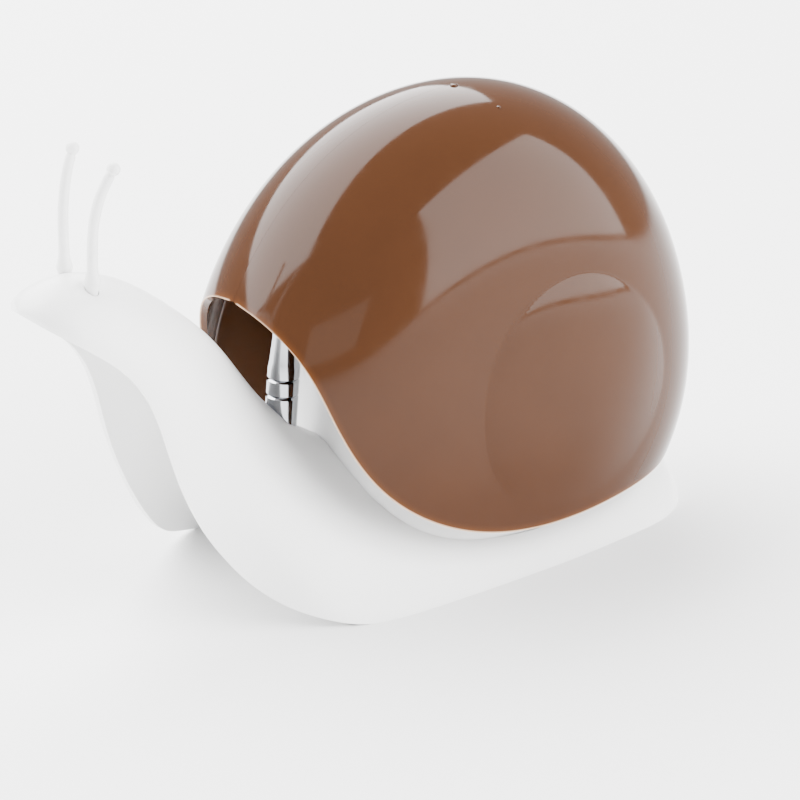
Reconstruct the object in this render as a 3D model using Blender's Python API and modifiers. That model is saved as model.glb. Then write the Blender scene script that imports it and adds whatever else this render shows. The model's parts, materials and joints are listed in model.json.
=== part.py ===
"""Snail-shaped liquid soap dispenser, pressed on its shell.

Frame: +Z up, origin at the centre of the footprint on the table. The head points to -X, the tail to +X.
The left side is -Y. Metres throughout; the outlines below are fractions of the overall sizes.
"""
from math import atan2, cos, hypot, pi, radians, sin

import bmesh
import bpy
import numpy as np
from mathutils import Matrix, Vector
from mathutils.bvhtree import BVHTree

# ---- overall sizes
LENGTH = 0.175
WIDTH = 0.072
HEIGHT = 0.110

# ---- walls and clearances
BODY_WALL = 0.0017
SHELL_WALL = 0.0018
GAP = 0.0003            # between touching pieces
MERGE_NEAR = 1e-5       # points this close on a half skin or its mirror are one point
WELD = 1e-6
EMBED = 0.5             # how deep a boss is rooted in a wall, as a share of that wall
PRESS_TRAVEL = 0.0070
PRESS_STOP_GAP = 0.0012  # left between actuator and collar at the end of the press

# ---- body: stations from lip to tail, each the half edge (x, y, z), the ridge (x, z),
# and the two exponents of the section between them. x is over LENGTH, y over WIDTH, z over HEIGHT.
BODY_STATIONS = (
    (-0.500, 0.000, 0.705, -0.500, 0.705, 2.0, 0.50),
    (-0.484, 0.105, 0.686, -0.489, 0.728, 2.0, 0.50),
    (-0.430, 0.178, 0.626, -0.434, 0.757, 2.0, 0.50),
    (-0.373, 0.194, 0.534, -0.366, 0.735, 2.0, 0.50),
    (-0.335, 0.216, 0.366, -0.286, 0.650, 2.0, 0.50),
    (-0.293, 0.240, 0.200, -0.217, 0.541, 2.0, 0.52),
    (-0.233, 0.325, 0.075, -0.149, 0.396, 1.9, 0.62),
    (-0.180, 0.420, 0.026, -0.080, 0.305, 1.8, 0.80),
    (-0.113, 0.486, 0.000, -0.011, 0.250, 1.7, 0.95),
    (-0.034, 0.500, 0.000, 0.057, 0.209, 1.6, 1.00),
    (0.086, 0.481, 0.000, 0.137, 0.173, 1.5, 1.00),
    (0.214, 0.450, 0.000, 0.240, 0.153, 1.5, 1.00),
    (0.334, 0.401, 0.000, 0.343, 0.141, 1.6, 0.95),
    (0.430, 0.315, 0.000, 0.423, 0.123, 1.8, 0.70),
    (0.476, 0.169, 0.000, 0.466, 0.090, 2.0, 0.50),
    (0.483, 0.085, 0.000, 0.481, 0.050, 2.0, 0.50),
    (0.485, 0.000, 0.000, 0.485, 0.000, 2.0, 0.50),
)
BODY_SECTIONS = 38
BODY_SECTION_POINTS = 9
SOLE_RISE = 0.00005     # lowest edge of the sections, just above the table
SOLE_SKIRT = 0.0006     # wall carried on below that edge, then trimmed flat at the table

# ---- shell: radius of the side outline (over HEIGHT) at angles in degrees about its centre
SHELL_CENTRE = (0.134 * LENGTH, 0.402 * HEIGHT)
SHELL_RADII = ((-60, 0.600), (-20, 0.600), (10, 0.570), (40, 0.570), (70, 0.582), (100, 0.573),
               (125, 0.562), (150, 0.559), (180, 0.569), (215, 0.562), (250, 0.550), (300, 0.600))
SHELL_HALF_WIDTH = 0.4625 * WIDTH
SHELL_FULLNESS = 3.8
# lower edge from the front apex to the rear apex, x over LENGTH and z over HEIGHT
SHELL_EDGE = ((-0.192, 0.625), (-0.169, 0.551), (-0.137, 0.409), (-0.087, 0.273), (-0.006, 0.167),
              (0.096, 0.105), (0.217, 0.092), (0.334, 0.110), (0.429, 0.133), (0.488, 0.167))
SHELL_ARC_STEPS = (26, 24)   # round the crown, along the lower edge
SHELL_RINGS = 12
SHELL_RING_SPACING = 1.5     # above 1 the rings crowd toward the hub
OUTLINE_SAMPLES = 361
EDGE_SAMPLES = 121
WHORL_CENTRE = (0.229 * LENGTH, 0.382 * HEIGHT)
WHORL_RADII = ((-105, 0.262), (-60, 0.245), (0, 0.227), (54, 0.227), (83, 0.245), (100, 0.255),
               (145, 0.262), (180, 0.258), (220, 0.273), (255, 0.262))
WHORL_HEIGHT = 0.0026
WHORL_STEP = ((-60, 0.0), (40, 1.0), (205, 1.0), (245, 0.0))   # how clear the whorl's edge is, by angle
WHORL_POWERS = (1.5, 0.7)    # side profile where the edge has melted away, and where it is a clear step

# ---- feelers
FEELER_ROUTE = ((-0.414, 0.079, 0.716), (-0.413, 0.082, 0.790), (-0.411, 0.088, 0.873),
                (-0.400, 0.103, 0.945), (-0.388, 0.117, 0.986))
FEELER_POINTS = 14
FEELER_STUB_RADIUS = 0.0014
FEELER_STEM_RADIUS = 0.00125
FEELER_BALL_RADIUS = 0.0015
FEELER_HOLE_RADIUS = FEELER_STUB_RADIUS + GAP
FEELER_HOLE_REACH = (0.004, 0.006)   # below and above the feeler's root
FEELER_FLARE = 0.0008        # the foot ring's extra radius
FEELER_FLARE_RISE = 0.0055
FEELER_FLARE_HALF = 0.0025
FEELER_TIP_START = -0.75     # where the ball leaves the stem, in quarter turns from its waist
FEELER_TIP_STEPS = 6
FEELER_TIP_FLAT = 0.12       # radius left at the very end, over the ball's

# ---- chrome nozzle, its guide in the neck and the hose to the mouth
NOZZLE_FOOT = Vector((-0.1251 * LENGTH, 0.0, 0.2455 * HEIGHT))
NOZZLE_TILT = radians(4.7)
NOZZLE_LENGTH = 0.0410
NOZZLE_RADIUS = 0.0037
NOZZLE_NECK_RADIUS = NOZZLE_RADIUS - 0.0006
NOZZLE_NECK_FROM = 0.0300           # heights up from the nozzle's foot
NOZZLE_TAPER_FROM = 0.0245
NOZZLE_TAPER_DEPTH = 0.0003
NOZZLE_STRAIGHT_TO = 0.0225
NOZZLE_CHAMFER = 0.0006
NOZZLE_GROOVES = (0.0167, 0.0206)
NOZZLE_GROOVE_HALF = 0.0004
NOZZLE_BORE = 0.0016
SPOUT_RADIUS = 0.0024
SPOUT_BORE = 0.0013
NOZZLE_SOCKET_DEPTH = 0.012
NOZZLE_HOLE_CLEARANCE = 0.0007
SPOUT_POINTS = 18
SPOUT_START_DROP = 0.0055           # actuator's top down to the spout's axis
SPOUT_RUN = 0.42                    # straight run, then two bends, over the reach and the rise
SPOUT_BENDS = ((0.30, 0.14), (0.09, 0.48))
SPOUT_CHANNEL_LIFT = 0.0020
NOZZLE_SLANT = 0.0009               # room for the nozzle's lean in the upright gland
SEAL_THICK = 0.0010
SEAL_BORE = NOZZLE_RADIUS + NOZZLE_SLANT
GLAND_X = NOZZLE_FOOT.x + 0.0006
GLAND_TOP = NOZZLE_FOOT.z + 0.0030
GLAND_DEPTH = 0.0160
GLAND_FLOOR = 0.0015
GLAND_BORE = SEAL_BORE + GAP
GLAND_RADIUS = GLAND_BORE + 0.0014
GLAND_FLANGE_RADIUS = GLAND_RADIUS + 0.0017
GLAND_FLANGE_THICK = 0.0015
GLAND_BOSS_BOTTOM = GLAND_TOP - 0.0080
PORT_Z = GLAND_TOP - 0.0131
PORT_LENGTH = 0.0050
PORT_SHOWN = 0.8                    # share of the port that stands clear of the cup
PORT_ROOT = 0.0007                  # how far the port is rooted in the cup's wall
PORT_RADIUS = 0.0015
PORT_BORE = 0.0009
HOSE_RADIUS = 0.0028
HOSE_BORE = PORT_RADIUS + GAP
HOSE_START_GAP = 0.0008
HOSE_POINTS = 20
BORE_OVERRUN = 0.0010               # how far a cutter runs past the end it opens
HOSE_KNOTS = ((-0.222, 0.270), (-0.263, 0.420), (-0.320, 0.563), (-0.377, 0.655), (-0.434, 0.691),
              (-0.457, 0.688))

# ---- base, pads and screws
PAD_RADIUS = 0.0040
PAD_HEIGHT = 0.0014
PLATE_THICK = 0.0020
PLATE_CENTRE_X = 0.148 * LENGTH
PLATE_HALF_LENGTH = 0.2720 * LENGTH
PLATE_HALF_WIDTH = 0.3333 * WIDTH
PLATE_ROUNDNESS = 2.8
BASE_SCREW_X = (-0.0820 * LENGTH, 0.3771 * LENGTH)
BASE_SCREW_Y = 0.1806 * WIDTH
PAD_X = (-0.0114 * LENGTH, 0.3200 * LENGTH)
PAD_Y = 0.2222 * WIDTH
SCREW_HEAD_RADIUS = 0.0024
SCREW_HEAD_HEIGHT = 0.0011
SCREW_HEAD_DOME = (0.5, 0.8)        # where the head starts to round over its height; its flat over its radius
SCREW_SHANK_RADIUS = 0.0011
SCREW_TIP = 0.5                     # blunt tip over the shank
SCREW_GRIP = 0.0040
BOSS_RADIUS = 0.0028

# ---- reservoir and pump
PUMP_X = 0.1400 * LENGTH
BRIDGE_DROP = 0.0075     # crown's inside down to the bridge's top
BRIDGE_THICK = 0.0030
BRIDGE_HALF = (0.0160, 0.0115)
BRIDGE_SCREW = (0.0125, 0.0080)
ACTUATOR_HEIGHT = 0.0135
ACTUATOR_RADIUS = 0.0090
ACTUATOR_CHAMFER = 0.0010
ACTUATOR_TAPER = 0.0040
ACTUATOR_FOOT = 0.72                # radius at the foot, over the full radius
SPIGOT_RADIUS = 0.0049
STEM_RADIUS = 0.0035
STEM_BORE = 0.0017
STEM_CHAMBER = 0.0023
STEM_SOCKET = 0.0060                # how far the stem goes up into the actuator
STEM_SEAT_DROP = 0.0045             # stem's top down to the outlet ball's seat
STEM_SEAT_STEPS = (0.0020, 0.0010)
BOTTLE_NECK_RADIUS = 0.0110
BOTTLE_WALL = 0.0012
BOTTLE_X = 0.1303 * LENGTH
BOTTLE_HALF = (0.1971 * LENGTH, 0.3472 * WIDTH)
BOTTLE_CORNER = 0.0040              # rounding at the bottom edge
BOTTLE_CORNER_STEP = 0.3
BOTTLE_SHOULDER = 0.0090
BOTTLE_SHOULDER_STEPS = (0.25, 0.5, 0.75, 0.92, 1.0)
BOTTLE_ROUNDNESS = 2.6
COLLAR_HEIGHT = 0.0110
COLLAR_RADIUS = BOTTLE_NECK_RADIUS + 0.0025
COLLAR_CHAMFER = 0.0010
COLLAR_TOP = 0.0020
COLLAR_HOLE_GAP = 0.0005
BOTTLE_HOLE_CLEARANCE = 0.0008
FLANGE_THICK = 0.0009
GASKET_THICK = 0.0006
CYLINDER_RADIUS = 0.0065
CYLINDER_BORE = 0.0054
CYLINDER_DEPTH = 0.0370
CYLINDER_FLOOR = 0.0020
DIP_RADIUS = 0.0021
DIP_BORE = 0.0013
DIP_END_GAP = 0.0020
DIP_SPIGOT = 0.0060          # length of the tube holder under the cylinder
DIP_SPIGOT_WALL = 0.0010
DIP_STEPS = 20
BALL_SEAT_HEIGHT = 0.0030
BALL_SEAT_STEP = 0.0010
INLET_BALL_RADIUS = 0.0019
INLET_SEAT = (0.55, 1.25)    # seat hole's radius, and the ball's height on it, over the ball's radius
INLET_BALL_GAP = 0.0004
OUTLET_BALL_RADIUS = 0.0015
OUTLET_SEAT = (0.6, 0.95)
BALL_SEGMENTS = (12, 8)
PISTON_HEIGHT = 0.0060
PISTON_BOTTOM = 0.0205       # up from the cylinder's bottom
PISTON_FLOOR = 0.0025
GUIDE_GAP = 0.0010
SPRING_RADIUS = 0.0041
SPRING_WIRE = 0.0004
SPRING_TURNS = 5
SPRING_STEPS = 12            # points in each turn

# ---- heights worked out from the crown down
R_PUMP = np.interp(90, *zip(*SHELL_RADII)) * HEIGHT
CROWN_INSIDE = SHELL_CENTRE[1] + R_PUMP - SHELL_WALL
BRIDGE_TOP = CROWN_INSIDE - BRIDGE_DROP
BRIDGE_BOTTOM = BRIDGE_TOP - BRIDGE_THICK
ACTUATOR_TOP = BRIDGE_BOTTOM - GAP
ACTUATOR_BOTTOM = ACTUATOR_TOP - ACTUATOR_HEIGHT
COLLAR_Z = ACTUATOR_BOTTOM - PRESS_TRAVEL - PRESS_STOP_GAP
FLANGE_TOP = COLLAR_Z - COLLAR_TOP - GAP
GASKET_TOP = FLANGE_TOP - FLANGE_THICK - GAP
BOTTLE_TOP = GASKET_TOP - GASKET_THICK - GAP
CYLINDER_BOTTOM = FLANGE_TOP - CYLINDER_DEPTH
PLATE_BOTTOM = PAD_HEIGHT + GAP
PLATE_TOP = PLATE_BOTTOM + PLATE_THICK
BOTTLE_BOTTOM = PLATE_TOP + GAP
STEM_TOP = ACTUATOR_BOTTOM + STEM_SOCKET
STEM_BOTTOM = CYLINDER_BOTTOM + PISTON_BOTTOM + PISTON_FLOOR + GAP

# ---- facets
ROUND = 24
FEW_SIDES = 12               # screws, bosses and other small rounds
OUTLINE_POINTS = 48


# ---------------------------------------------------------------- scene and small helpers
def clear_scene():
    for obj in list(bpy.data.objects):
        bpy.data.objects.remove(obj, do_unlink=True)
    for coll in list(bpy.data.collections):
        bpy.data.collections.remove(coll)


def new_collection(name):
    coll = bpy.data.collections.new(name)
    bpy.context.scene.collection.children.link(coll)
    return coll


clear_scene()
PARTS = new_collection("snail_soap_dispenser")
CUTTERS = new_collection("cutters")


def material(name, colour, roughness, metallic=0.0, alpha=1.0):
    mat = bpy.data.materials.new(name)
    mat.use_nodes = True
    shader = mat.node_tree.nodes["Principled BSDF"]
    shader.inputs["Base Color"].default_value = (*colour, 1.0)
    shader.inputs["Roughness"].default_value = roughness
    shader.inputs["Metallic"].default_value = metallic
    shader.inputs["Alpha"].default_value = alpha
    return mat


def link(obj, coll=PARTS):
    coll.objects.link(obj)
    return obj


def mesh_object(name, bm, coll=PARTS):
    mesh = bpy.data.meshes.new(name)
    bm.to_mesh(mesh)
    bm.free()
    return link(bpy.data.objects.new(name, mesh), coll)


def as_cutter(obj):
    for coll in list(obj.users_collection):
        coll.objects.unlink(obj)
    CUTTERS.objects.link(obj)
    obj.hide_render = True
    obj.display_type = 'WIRE'
    return obj


def evaluated_mesh(obj):
    bpy.context.view_layer.update()
    depsgraph = bpy.context.evaluated_depsgraph_get()
    mesh = bpy.data.meshes.new_from_object(obj.evaluated_get(depsgraph), depsgraph=depsgraph)
    mesh.name = obj.name
    return mesh


def baked(obj):
    """Replaces the object by one holding its evaluated mesh, with curve caps welded."""
    mesh = evaluated_mesh(obj)
    bm = bmesh.new()
    bm.from_mesh(mesh)
    bmesh.ops.remove_doubles(bm, verts=bm.verts, dist=WELD)
    bm.to_mesh(mesh)
    bm.free()
    name = obj.name
    place = obj.matrix_world.copy()
    colls = list(obj.users_collection)
    bpy.data.objects.remove(obj, do_unlink=True)
    solid = bpy.data.objects.new(name, mesh)
    solid.matrix_world = place
    for coll in colls:
        coll.objects.link(solid)
    return solid


def boolean(obj, other, operation):
    mod = obj.modifiers.new(operation.lower(), 'BOOLEAN')
    mod.operation = operation
    mod.object = as_cutter(other)
    mod.solver = 'EXACT'


def cut(obj, *cutters):
    for cutter in cutters:
        boolean(obj, cutter, 'DIFFERENCE')


def join(obj, *others):
    for other in others:
        boolean(obj, other, 'UNION')


def smooth_shaded(obj, angle=35):
    obj.data.shade_smooth()
    obj.data.set_sharp_from_angle(angle=radians(angle))


def through(rows, count, weights=None):
    """Rows of numbers sampled on a smooth curve through them, at even steps of its chord length."""
    rows = np.asarray(rows, float)
    metric = rows if weights is None else rows * np.asarray(weights)
    chord = np.concatenate([[0.0], np.cumsum(np.linalg.norm(np.diff(metric, axis=0), axis=1))])
    slope = np.gradient(rows, chord, axis=0)
    at = np.linspace(0.0, chord[-1], count)
    k = np.clip(np.searchsorted(chord, at, side="right") - 1, 0, len(chord) - 2)
    step = chord[k + 1] - chord[k]
    t = (at - chord[k]) / step
    t, step = t[:, None], step[:, None]
    return ((2 * t**3 - 3 * t**2 + 1) * rows[k] + (t**3 - 2 * t**2 + t) * step * slope[k]
            + (3 * t**2 - 2 * t**3) * rows[k + 1] + (t**3 - t**2) * step * slope[k + 1])


# ---------------------------------------------------------------- shape builders
def turned(name, profile, x=0.0, steps=ROUND, coll=PARTS):
    """A solid of revolution about the vertical line at x. The (radius, height) profile runs down the
    outside and, for a ring, back up the bore; a profile that starts and ends on the axis is left open."""
    on_axis = profile[0][0] == 0.0 and profile[-1][0] == 0.0
    bm = bmesh.new()
    verts = [bm.verts.new((r, 0.0, z)) for r, z in profile]
    for a, b in zip(verts, verts[1:]):
        bm.edges.new((a, b))
    if not on_axis:
        bm.edges.new((verts[-1], verts[0]))
    obj = mesh_object(name, bm, coll)
    obj.location.x = x
    screw = obj.modifiers.new("turn", 'SCREW')
    screw.steps = steps
    screw.render_steps = steps
    screw.use_merge_vertices = True
    screw.merge_threshold = WELD
    screw.use_smooth_shade = True
    return obj


def cylinder(name, radius, bottom, top, x=0.0, y=0.0, steps=FEW_SIDES, coll=PARTS, fan=False):
    bm = bmesh.new()
    bmesh.ops.create_cone(bm, cap_ends=True, cap_tris=fan, segments=steps, radius1=radius, radius2=radius,
                          depth=top - bottom)
    obj = mesh_object(name, bm, coll)
    obj.location = (x, y, (top + bottom) / 2)
    return obj


def box(name, low, high, coll=PARTS):
    bm = bmesh.new()
    bmesh.ops.create_cube(bm, size=1.0)
    size = [b - a for a, b in zip(low, high)]
    bmesh.ops.scale(bm, vec=size, verts=bm.verts)
    obj = mesh_object(name, bm, coll)
    obj.location = [(a + b) / 2 for a, b in zip(low, high)]
    return obj


def rounded_outline(half_x, half_y, roundness, count):
    """Superellipse points about the origin, counter-clockwise."""
    points = []
    for i in range(count):
        c, s = cos(2 * pi * i / count), sin(2 * pi * i / count)
        x = abs(c) ** (2 / roundness) * (1 if c >= 0 else -1)
        y = abs(s) ** (2 / roundness) * (1 if s >= 0 else -1)
        points.append((half_x * x, half_y * y))
    return points


def flat_outline(name, points, bottom, top, x=0.0):
    """A plate or prism from a 2D curve, turned into a mesh."""
    curve = bpy.data.curves.new(name, 'CURVE')
    curve.dimensions = '2D'
    curve.fill_mode = 'BOTH'
    curve.extrude = (top - bottom) / 2
    spline = curve.splines.new('POLY')
    spline.points.add(len(points) - 1)
    for point, (px, py) in zip(spline.points, points):
        point.co = (px, py, 0.0, 1.0)
    spline.use_cyclic_u = True
    obj = link(bpy.data.objects.new(name, curve))
    obj.location = (x, 0.0, (top + bottom) / 2)
    return baked(obj)


def rod(name, route, radius, radii=None, sides=2, coll=PARTS):
    """A round bar along a route, with filled caps; radii are factors of the radius at each point."""
    curve = bpy.data.curves.new(name, 'CURVE')
    curve.dimensions = '3D'
    curve.bevel_depth = radius
    curve.bevel_resolution = sides
    curve.use_fill_caps = True
    spline = curve.splines.new('POLY')
    spline.points.add(len(route) - 1)
    for i, point in enumerate(spline.points):
        point.co = (*route[i], 1.0)
        point.radius = 1.0 if radii is None else radii[i]
    return baked(link(bpy.data.objects.new(name, curve), coll))


def loft_rings(name, sections, count, roundness_of):
    """An open skin over stacked superellipse rings (z, x, half_x, half_y), closed by a cap at the bottom."""
    bm = bmesh.new()
    rings = []
    for z, x, half_x, half_y in sections:
        outline = rounded_outline(half_x, half_y, roundness_of(half_y), count)
        rings.append([bm.verts.new((x + px, py, z)) for px, py in outline])
    bm.faces.new(list(reversed(rings[0])))
    for low, high in zip(rings, rings[1:]):
        for i in range(count):
            j = (i + 1) % count
            bm.faces.new((low[i], low[j], high[j], high[i]))
    return mesh_object(name, bm)


def boss_to_wall(name, wall_obj, thickness, radius, bottom, x, y, steps=FEW_SIDES):
    """A vertical post from the given height up into the wall above it, its top following that wall."""
    tree = BVHTree.FromObject(wall_obj, bpy.context.evaluated_depsgraph_get())
    obj = cylinder(name, radius, bottom, bottom + thickness, 0.0, 0.0, steps, fan=True)
    middle = obj.location.z
    obj.location = (0.0, 0.0, 0.0)
    for vert in obj.data.vertices:
        rising = vert.co.z > 0
        vert.co += Vector((x, y, middle))
        if rising:
            hit, _, _, _ = tree.ray_cast(Vector((vert.co.x, vert.co.y, bottom)), Vector((0.0, 0.0, 1.0)))
            vert.co.z = hit.z + EMBED * thickness
    return obj


# ---------------------------------------------------------------- body
def body_sections():
    """Rows of points across the half body (at -Y), from its skirt up to its ridge."""
    scale = (LENGTH, WIDTH, HEIGHT, LENGTH, HEIGHT, 1.0, 1.0)
    stations = np.array(BODY_STATIONS) * scale
    rows = through(stations, BODY_SECTIONS, weights=(1, 1, 1, 1, 1, 0, 0))
    sections = []
    for ex, ey, ez, rx, rz, across, up in rows:
        ez, rz, ey = max(ez, SOLE_RISE), max(rz, SOLE_RISE), max(ey, 0.0)
        section = [(ex, -ey, -SOLE_SKIRT if ez == SOLE_RISE else ez)]
        for i in range(BODY_SECTION_POINTS):
            q = cos(pi / 2 * i / (BODY_SECTION_POINTS - 1))
            h = (1.0 - q**across) ** up
            section.append((ex + (rx - ex) * h, -ey * q, ez + (rz - ez) * h))
        sections.append(section)
    return sections


def make_body():
    bm = bmesh.new()
    grid = [[bm.verts.new(p) for p in section] for section in body_sections()]
    for near, far in zip(grid, grid[1:]):
        for i in range(BODY_SECTION_POINTS):
            bm.faces.new((near[i], far[i], far[i + 1], near[i + 1]))
    bmesh.ops.remove_doubles(bm, verts=bm.verts, dist=MERGE_NEAR)
    obj = mesh_object("body", bm)
    mirror = obj.modifiers.new("halves", 'MIRROR')
    mirror.use_axis = (False, True, False)
    mirror.merge_threshold = MERGE_NEAR
    wall = obj.modifiers.new("wall", 'SOLIDIFY')
    wall.thickness = BODY_WALL
    wall.offset = -1.0
    obj = baked(obj)
    posts = [boss_to_wall(f"base_boss_{i}", obj, BODY_WALL, BOSS_RADIUS, PLATE_TOP + GAP, x, y)
             for i, (x, y) in enumerate(base_screw_places())]
    gland_boss = boss_to_wall("gland_boss", obj, BODY_WALL, GLAND_FLANGE_RADIUS, GLAND_BOSS_BOTTOM, GLAND_X,
                              0.0, ROUND)
    join(obj, *posts, gland_boss)
    floor = box("floor_cut", (-LENGTH, -WIDTH, -HEIGHT), (LENGTH, WIDTH, 0.0))
    cut(obj, floor)
    pilots = [cylinder(f"base_pilot_{i}", SCREW_SHANK_RADIUS + GAP, PLATE_TOP,
                       PLATE_TOP + SCREW_GRIP + GAP, x, y)
              for i, (x, y) in enumerate(base_screw_places())]
    well = cylinder("gland_well", GLAND_RADIUS + GAP, GLAND_BOSS_BOTTOM - GAP, GLAND_TOP + SEAL_THICK + 3 * GAP,
                    GLAND_X, 0.0, ROUND)
    hole = cylinder("nozzle_hole", NOZZLE_RADIUS + NOZZLE_HOLE_CLEARANCE, -NOZZLE_LENGTH / 4, NOZZLE_LENGTH,
                    steps=ROUND)
    hole.matrix_world = nozzle_place() @ Matrix.Translation((0, 0, NOZZLE_LENGTH / 2))
    mouth = flat_outline("bottle_hole", rounded_outline(BOTTLE_HALF[0] + BOTTLE_HOLE_CLEARANCE,
                                                        BOTTLE_HALF[1] + BOTTLE_HOLE_CLEARANCE,
                                                        BOTTLE_ROUNDNESS, OUTLINE_POINTS),
                         PLATE_BOTTOM, HEIGHT / 2, BOTTLE_X)
    sockets = []
    for side in (-1, 1):
        x, y, z = feeler_route(side)[0]
        below, above = FEELER_HOLE_REACH
        sockets.append(cylinder(f"feeler_socket_{side}", FEELER_HOLE_RADIUS, z - below, z + above, x, y))
    cut(obj, *pilots, well, hole, mouth, *sockets)
    return baked(obj)


# ---------------------------------------------------------------- shell
def shell_radius(angle):
    degrees, radii = zip(*SHELL_RADII)
    first = degrees[0]
    turn = (np.degrees(angle) - first) % 360 + first
    table = np.array(radii) * HEIGHT
    fine = through(np.column_stack([degrees, table]), OUTLINE_SAMPLES)
    return np.interp(turn, fine[:, 0], fine[:, 1])


def edge_polar():
    """The lower edge as angle and distance about the shell's centre, and the angles of its two ends."""
    points = through([(x * LENGTH, z * HEIGHT) for x, z in SHELL_EDGE], EDGE_SAMPLES)
    dx = points[:, 0] - SHELL_CENTRE[0]
    dz = points[:, 1] - SHELL_CENTRE[1]
    angles = np.unwrap(np.arctan2(dz, dx) % (2 * pi))
    return angles, np.hypot(dx, dz)


def whorl_bulge(x, z):
    """How far the coiled boss stands out of the shell's side at a point of the side view."""
    dx, dz = x - WHORL_CENTRE[0], z - WHORL_CENTRE[1]
    degrees, radii = zip(*WHORL_RADII)
    angle = (np.degrees(atan2(dz, dx)) - degrees[0]) % 360 + degrees[0]
    edge = np.interp(angle, degrees, radii) * HEIGHT
    clear = np.interp(angle, *zip(*WHORL_STEP))
    inside = max(0.0, 1.0 - (hypot(dx, dz) / edge) ** 2)
    return WHORL_HEIGHT * inside ** np.interp(clear, (0.0, 1.0), WHORL_POWERS)


def make_shell():
    """Both halves of the cover, cut apart on the seam plane."""
    angles, distances = edge_polar()
    front, rear = angles[0], angles[-1]
    crown = np.linspace(rear - 2 * pi, front, SHELL_ARC_STEPS[0] + 1)
    share = np.minimum(1.0, distances / shell_radius(angles))
    along = np.column_stack([distances * np.cos(angles), distances * np.sin(angles),
                             SHELL_HALF_WIDTH * np.sqrt(1.0 - share**SHELL_FULLNESS)])
    chord = np.concatenate([[0.0], np.cumsum(np.linalg.norm(np.diff(along, axis=0), axis=1))])
    lower = np.interp(np.linspace(0, chord[-1], SHELL_ARC_STEPS[1] + 1)[1:-1], chord, angles)
    turn = np.concatenate([crown, lower])
    reach = np.concatenate([np.ones(len(crown)), np.interp(lower, angles, share)])
    bm = bmesh.new()
    centre_y = -SHELL_HALF_WIDTH - whorl_bulge(*SHELL_CENTRE)
    hub = bm.verts.new((SHELL_CENTRE[0], centre_y, SHELL_CENTRE[1]))
    grid = []
    for angle, end in zip(turn, reach):
        spread = np.arcsin(min(1.0, end ** (SHELL_FULLNESS / 2)))
        radius = shell_radius(angle)
        spoke = []
        for k in range(1, SHELL_RINGS + 1):
            t = spread * (k / SHELL_RINGS) ** SHELL_RING_SPACING
            rho = sin(t) ** (2 / SHELL_FULLNESS)
            x = SHELL_CENTRE[0] + radius * rho * cos(angle)
            z = SHELL_CENTRE[1] + radius * rho * sin(angle)
            y = SHELL_HALF_WIDTH * cos(t) + whorl_bulge(x, z)
            spoke.append(bm.verts.new((x, 0.0 if end == 1.0 and k == SHELL_RINGS else -y, z)))
        grid.append(spoke)
    for i in range(len(grid)):
        one, two = grid[i], grid[(i + 1) % len(grid)]
        bm.faces.new((hub, one[0], two[0]))
        for k in range(SHELL_RINGS - 1):
            bm.faces.new((one[k], one[k + 1], two[k + 1], two[k]))
    form = mesh_object("shell_form", bm)
    mirror = form.modifiers.new("halves", 'MIRROR')
    mirror.use_axis = (False, True, False)
    mirror.merge_threshold = MERGE_NEAR
    wall = form.modifiers.new("wall", 'SOLIDIFY')
    wall.thickness = SHELL_WALL
    wall.offset = -1.0
    form = baked(form)
    posts, pilots = [], []
    for i, (x, y) in enumerate(bridge_screw_places()):
        posts.append(boss_to_wall(f"shell_boss_{i}", form, SHELL_WALL, BOSS_RADIUS, BRIDGE_TOP + GAP, x, y))
        pilots.append(cylinder(f"shell_pilot_{i}", SCREW_SHANK_RADIUS + GAP, BRIDGE_TOP,
                               BRIDGE_TOP + SCREW_GRIP + GAP, x, y))
    join(form, *posts)
    cut(form, *pilots)
    form = baked(form)
    halves = []
    for name, side in (("shell_left", -1), ("shell_right", 1)):
        half = link(bpy.data.objects.new(name, form.data.copy()))
        low_y, high_y = sorted((side * GAP / 2, -side * WIDTH))
        other = box(f"{name}_cut", (-LENGTH, low_y, -HEIGHT), (LENGTH, high_y, 2 * HEIGHT))
        cut(half, other)
        halves.append(baked(half))
    bpy.data.objects.remove(form, do_unlink=True)
    return halves


# ---------------------------------------------------------------- places shared by several pieces
def base_screw_places():
    return [(x, y) for x in BASE_SCREW_X for y in (-BASE_SCREW_Y, BASE_SCREW_Y)]


def bridge_screw_places():
    dx, dy = BRIDGE_SCREW
    return [(PUMP_X + x, y) for x in (-dx, dx) for y in (-dy, dy)]


def nozzle_place():
    return Matrix.Translation(NOZZLE_FOOT) @ Matrix.Rotation(NOZZLE_TILT, 4, 'Y')


def feeler_route(side):
    return [(x * LENGTH, side * y * WIDTH, z * HEIGHT) for x, y, z in FEELER_ROUTE]


# ---------------------------------------------------------------- the smaller pieces
def make_feeler(name, side):
    """A soft stalk with a round tip, rooted in a socket of the head."""
    points = through(feeler_route(side), FEELER_POINTS + 1)
    tip = Vector(points[-1])
    way = (tip - Vector(points[-2])).normalized()
    route, radii = [], []
    for point in points[:-1]:
        rise = point[2] - points[0][2]
        flare = max(0.0, 1.0 - abs(rise - FEELER_FLARE_RISE) / FEELER_FLARE_HALF)
        route.append(tuple(point))
        radii.append(1.0 + FEELER_FLARE / FEELER_STEM_RADIUS * flare)
    for turn in np.linspace(FEELER_TIP_START * pi / 2, pi / 2, FEELER_TIP_STEPS + 1):
        route.append(tuple(tip + way * (FEELER_BALL_RADIUS * sin(turn))))
        radii.append(max(FEELER_TIP_FLAT, cos(turn)) * FEELER_BALL_RADIUS / FEELER_STEM_RADIUS)
    return rod(name, route, FEELER_STEM_RADIUS, radii, sides=2)


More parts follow.
